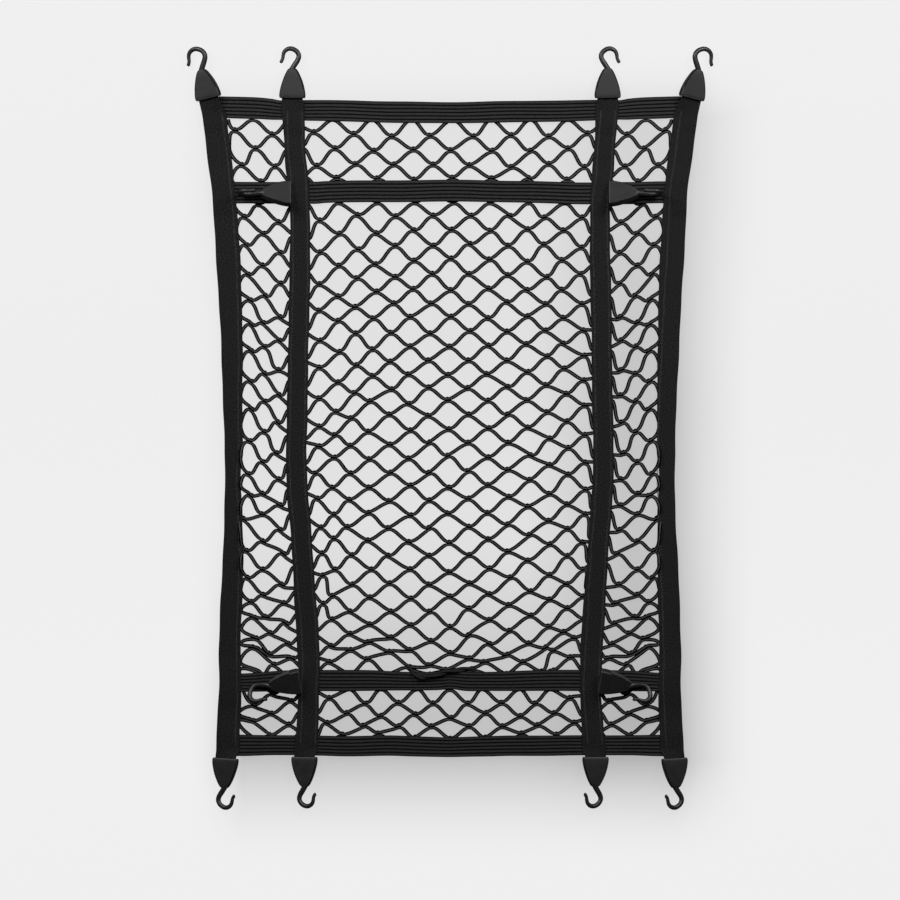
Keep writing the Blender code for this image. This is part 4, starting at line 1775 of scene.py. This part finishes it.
    def stitch(self) -> bpy.types.Object:
        """Make the strap's zigzag seams.

        Returns:
            All the strap's stitches as one piece.
        """
        bar = rounded_bar(length=self.stitch_width * self.stitch_overlap, width=0.9, height=0.6)
        legs = np.arange(self.seam_start, self.at[-1] - self.seam_start, self.stitch_pitch)
        run = (self.right, self.over, self.ahead, self.up)
        edge, across, onward, rise = (self.read(values, legs) for values in run)
        skin = Skin()
        for seam in self.seams:
            inset = seam if seam > 0 else self.width + seam
            origins = edge + across * inset + rise * (STRAP_THICKNESS / 2 + self.stitch_rise)
            lean = np.where(np.arange(len(legs)) % 2 == 0, 1.0, -1.0)[:, None]
            along = unit(onward * self.stitch_pitch + across * lean * self.stitch_width)
            skin.add_copies(bar, origins, np.stack([along, np.cross(rise, along), rise], axis=1))
        return dress(skin.to_piece(f"stitching_{self.ending}"), THREAD, Slot.WEBBING)

    def read(self, values: np.ndarray, where: np.ndarray) -> np.ndarray:
        """Read a vector that is known at each station at other places along the strap."""
        return np.stack([np.interp(where, self.at, column) for column in values.T], axis=-1)


# ---------------------------------------------------------------------------------------- studio


class Fade(NamedTuple):
    """Where a shade starts to fade, and over which width."""

    start: float
    width: float


@dataclass(frozen=True)
class TableShade:
    """The net's shadow painted into the table's glow, by place in metres from its middle."""

    right: Fade = Fade(0.375, 0.15)
    left: Fade = Fade(0.345, 0.095)
    bottom: Fade = Fade(0.552, 0.185)
    top: Fade = Fade(0.52, 0.1)
    flare: Ramp = Ramp(0.1, 0.5, 0.0, 0.03)
    toward_bottom: Ramp = Ramp(-0.13, -0.5, 0.125, 0.4)
    lower_down: Ramp = Ramp(0.5, 0.0, 0.125, 0.25)
    to_right: Ramp = Ramp(0.1, 0.31)
    less_at_bottom: Ramp = Ramp(-0.15, -0.5, 1.0, 0.4)
    # The glow grows a little toward the table's bottom, where the lamps light it less.
    table: Ramp = Ramp(0.2, -0.6, 1.0, 1.03)

    def fade(self, nodes: Nodes, value: object, fade: Fade) -> bpy.types.NodeSocket:
        """A share that falls from 1 to 0 as a value passes a fade, faster at first.

        Args:
            nodes: The table's nodes.
            value: The value.
            fade: The fade.

        Returns:
            The share.
        """
        past = nodes.math("DIVIDE", nodes.math("SUBTRACT", value, fade.start), fade.width)
        kept = nodes.math("MAXIMUM", nodes.math("SUBTRACT", 1.0, past), 0.0)
        return nodes.math("POWER", nodes.math("MINIMUM", kept, 1.0), 2.0)

    def glow(self, nodes: Nodes) -> bpy.types.NodeSocket:
        """How strongly the table glows, less where the net's shadow is painted.

        Args:
            nodes: The table's nodes.

        Returns:
            The strength at each place.
        """
        x, y = nodes.parts(nodes.object_place())
        flare = nodes.ramp(y, self.flare)
        right = self.fade(nodes, nodes.math("SUBTRACT", x, flare), self.right)
        left = self.fade(nodes, nodes.math("SUBTRACT", nodes.times(x, -1.0), flare), self.left)
        bottom = self.fade(nodes, nodes.times(y, -1.0), self.bottom)
        within = nodes.times(bottom, self.fade(nodes, y, self.top))
        to_right = nodes.times(nodes.ramp(x, self.to_right), nodes.ramp(y, self.lower_down))
        to_right = nodes.times(to_right, nodes.ramp(y, self.less_at_bottom))
        strength = nodes.math("ADD", nodes.ramp(y, self.toward_bottom), to_right)
        shade = nodes.times(strength, nodes.times(nodes.times(right, left), within))
        return nodes.math("SUBTRACT", nodes.ramp(y, self.table), shade)


@dataclass
class Studio:
    """A pale glowing table with the net's shadow painted in, broad lights beyond its top and overhead, and
    the camera.
    """

    lens: float = 200.0
    sensor: float = 36.0
    frame_width: float = 1498.5
    view_end: float = 100.0
    aim: tuple[float, float] = (0.0, -36.6)
    table_size: float = 30.0
    table_tone: str = "#e9e9e9"
    table_colour: str = "#3c3c3c"
    table_roughness: float = 0.95
    shade: TableShade = TableShade()
    key_place: tuple[float, float, float] = (1.5, 1.6, 1.7)
    key_size: float = 0.9
    key_power: float = 40.0
    softbox_place: tuple[float, float, float] = (0.0, 1.8, 4.5)
    softbox_size: float = 2.2
    softbox_power: float = 60.0
    fill: float = 0.05

    def build(self) -> None:
        """Add the table, the lights and the camera."""
        self.add_table()
        self.add_lights()
        self.add_camera()

    def add_table(self) -> None:
        """Lay a glowing pale table top under the net, with the net's shadow painted into its glow."""
        deselect_all()
        bpy.ops.mesh.primitive_plane_add(size=self.table_size, location=(0, 0, 0))
        table = bpy.context.object
        table.name = "studio_table"
        material = bpy.data.materials.new("glowing_table_painted_shadow")
        material.use_nodes = True
        nodes = Nodes(material.node_tree)
        shader = nodes.tree.nodes["Principled BSDF"]
        shader.inputs["Base Color"].default_value = linear(self.table_colour)
        shader.inputs["Roughness"].default_value = self.table_roughness
        shader.inputs["Specular IOR Level"].default_value = 0.0
        # The table glows instead of being lit, and the net's shadow is painted into its glow.
        shader.inputs["Emission Color"].default_value = linear(self.table_tone)
        nodes.tree.links.new(self.shade.glow(nodes), shader.inputs["Emission Strength"])
        table.data.materials.append(material)
        table.visible_diffuse = False
        table.visible_glossy = False

    def add_lights(self) -> None:
        """Add a key light on each side, the softbox overhead and an even fill."""
        x, y, z = self.key_place
        for side in Side:
            self.add_light(f"key_{side.word}", (side.value * x, y, z), self.key_size, self.key_power)
        self.add_light("softbox", self.softbox_place, self.softbox_size, self.softbox_power)
        world = bpy.data.worlds.new("studio")
        world.use_nodes = True
        background = world.node_tree.nodes["Background"]
        background.inputs["Color"].default_value = (1, 1, 1, 1)
        background.inputs["Strength"].default_value = self.fill
        bpy.context.scene.world = world

    def add_light(self, name: str, place: tuple[float, float, float], size: float, power: float) -> None:
        """Add a square light that faces the net's middle.

        Args:
            name: The light's name.
            place: Where it stands, in metres.
            size: Its side, in metres.
            power: Its power, in watts.
        """
        data = bpy.data.lights.new(name, "AREA")
        data.energy = power
        data.size = size
        light = add_object(name, data)
        light.location = place
        light.rotation_euler = (-Vector(place)).to_track_quat("-Z", "Y").to_euler()

    def add_camera(self) -> None:
        """Aim the camera straight down at the net's middle."""
        data = bpy.data.cameras.new("overhead")
        data.lens = self.lens
        data.sensor_width = self.sensor
        data.clip_end = self.view_end
        camera = add_object("overhead", data)
        distance = self.frame_width * self.lens / self.sensor
        camera.location = (self.aim[0] * MM, self.aim[1] * MM, distance * MM)
        bpy.context.scene.camera = camera
        bpy.context.scene.view_settings.view_transform = "Standard"


# Each strap's table, and its zigzag seams on each side of the net.
STRAPS = {
    "outer": (OUTER_STRAP, {Side.LEFT: (7.0,), Side.RIGHT: (-7.0,)}),
    "inner": (INNER_STRAP, {Side.LEFT: (4.5, -6.5), Side.RIGHT: (4.5, -6.5)}),
}


def main() -> None:
    """Dress the whole net and set up the studio round it."""
    logging.basicConfig(level=logging.INFO, format="%(message)s")
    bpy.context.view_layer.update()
    Studio().build()
    ElasticNet().build()
    CordBunch().build()
    for seed, (name, rows) in enumerate(BANDS.items(), start=1):
        RibbedBand(name, rows, seed).build()
    HookEnd().build()
    for side in Side:
        for seed, (kind, (rows, seams)) in enumerate(STRAPS.items(), start=len(BANDS) + 1):
            WebbingStrap(kind, side, rows, seams[side], seed).build()


if __name__ == "__main__":
    main()
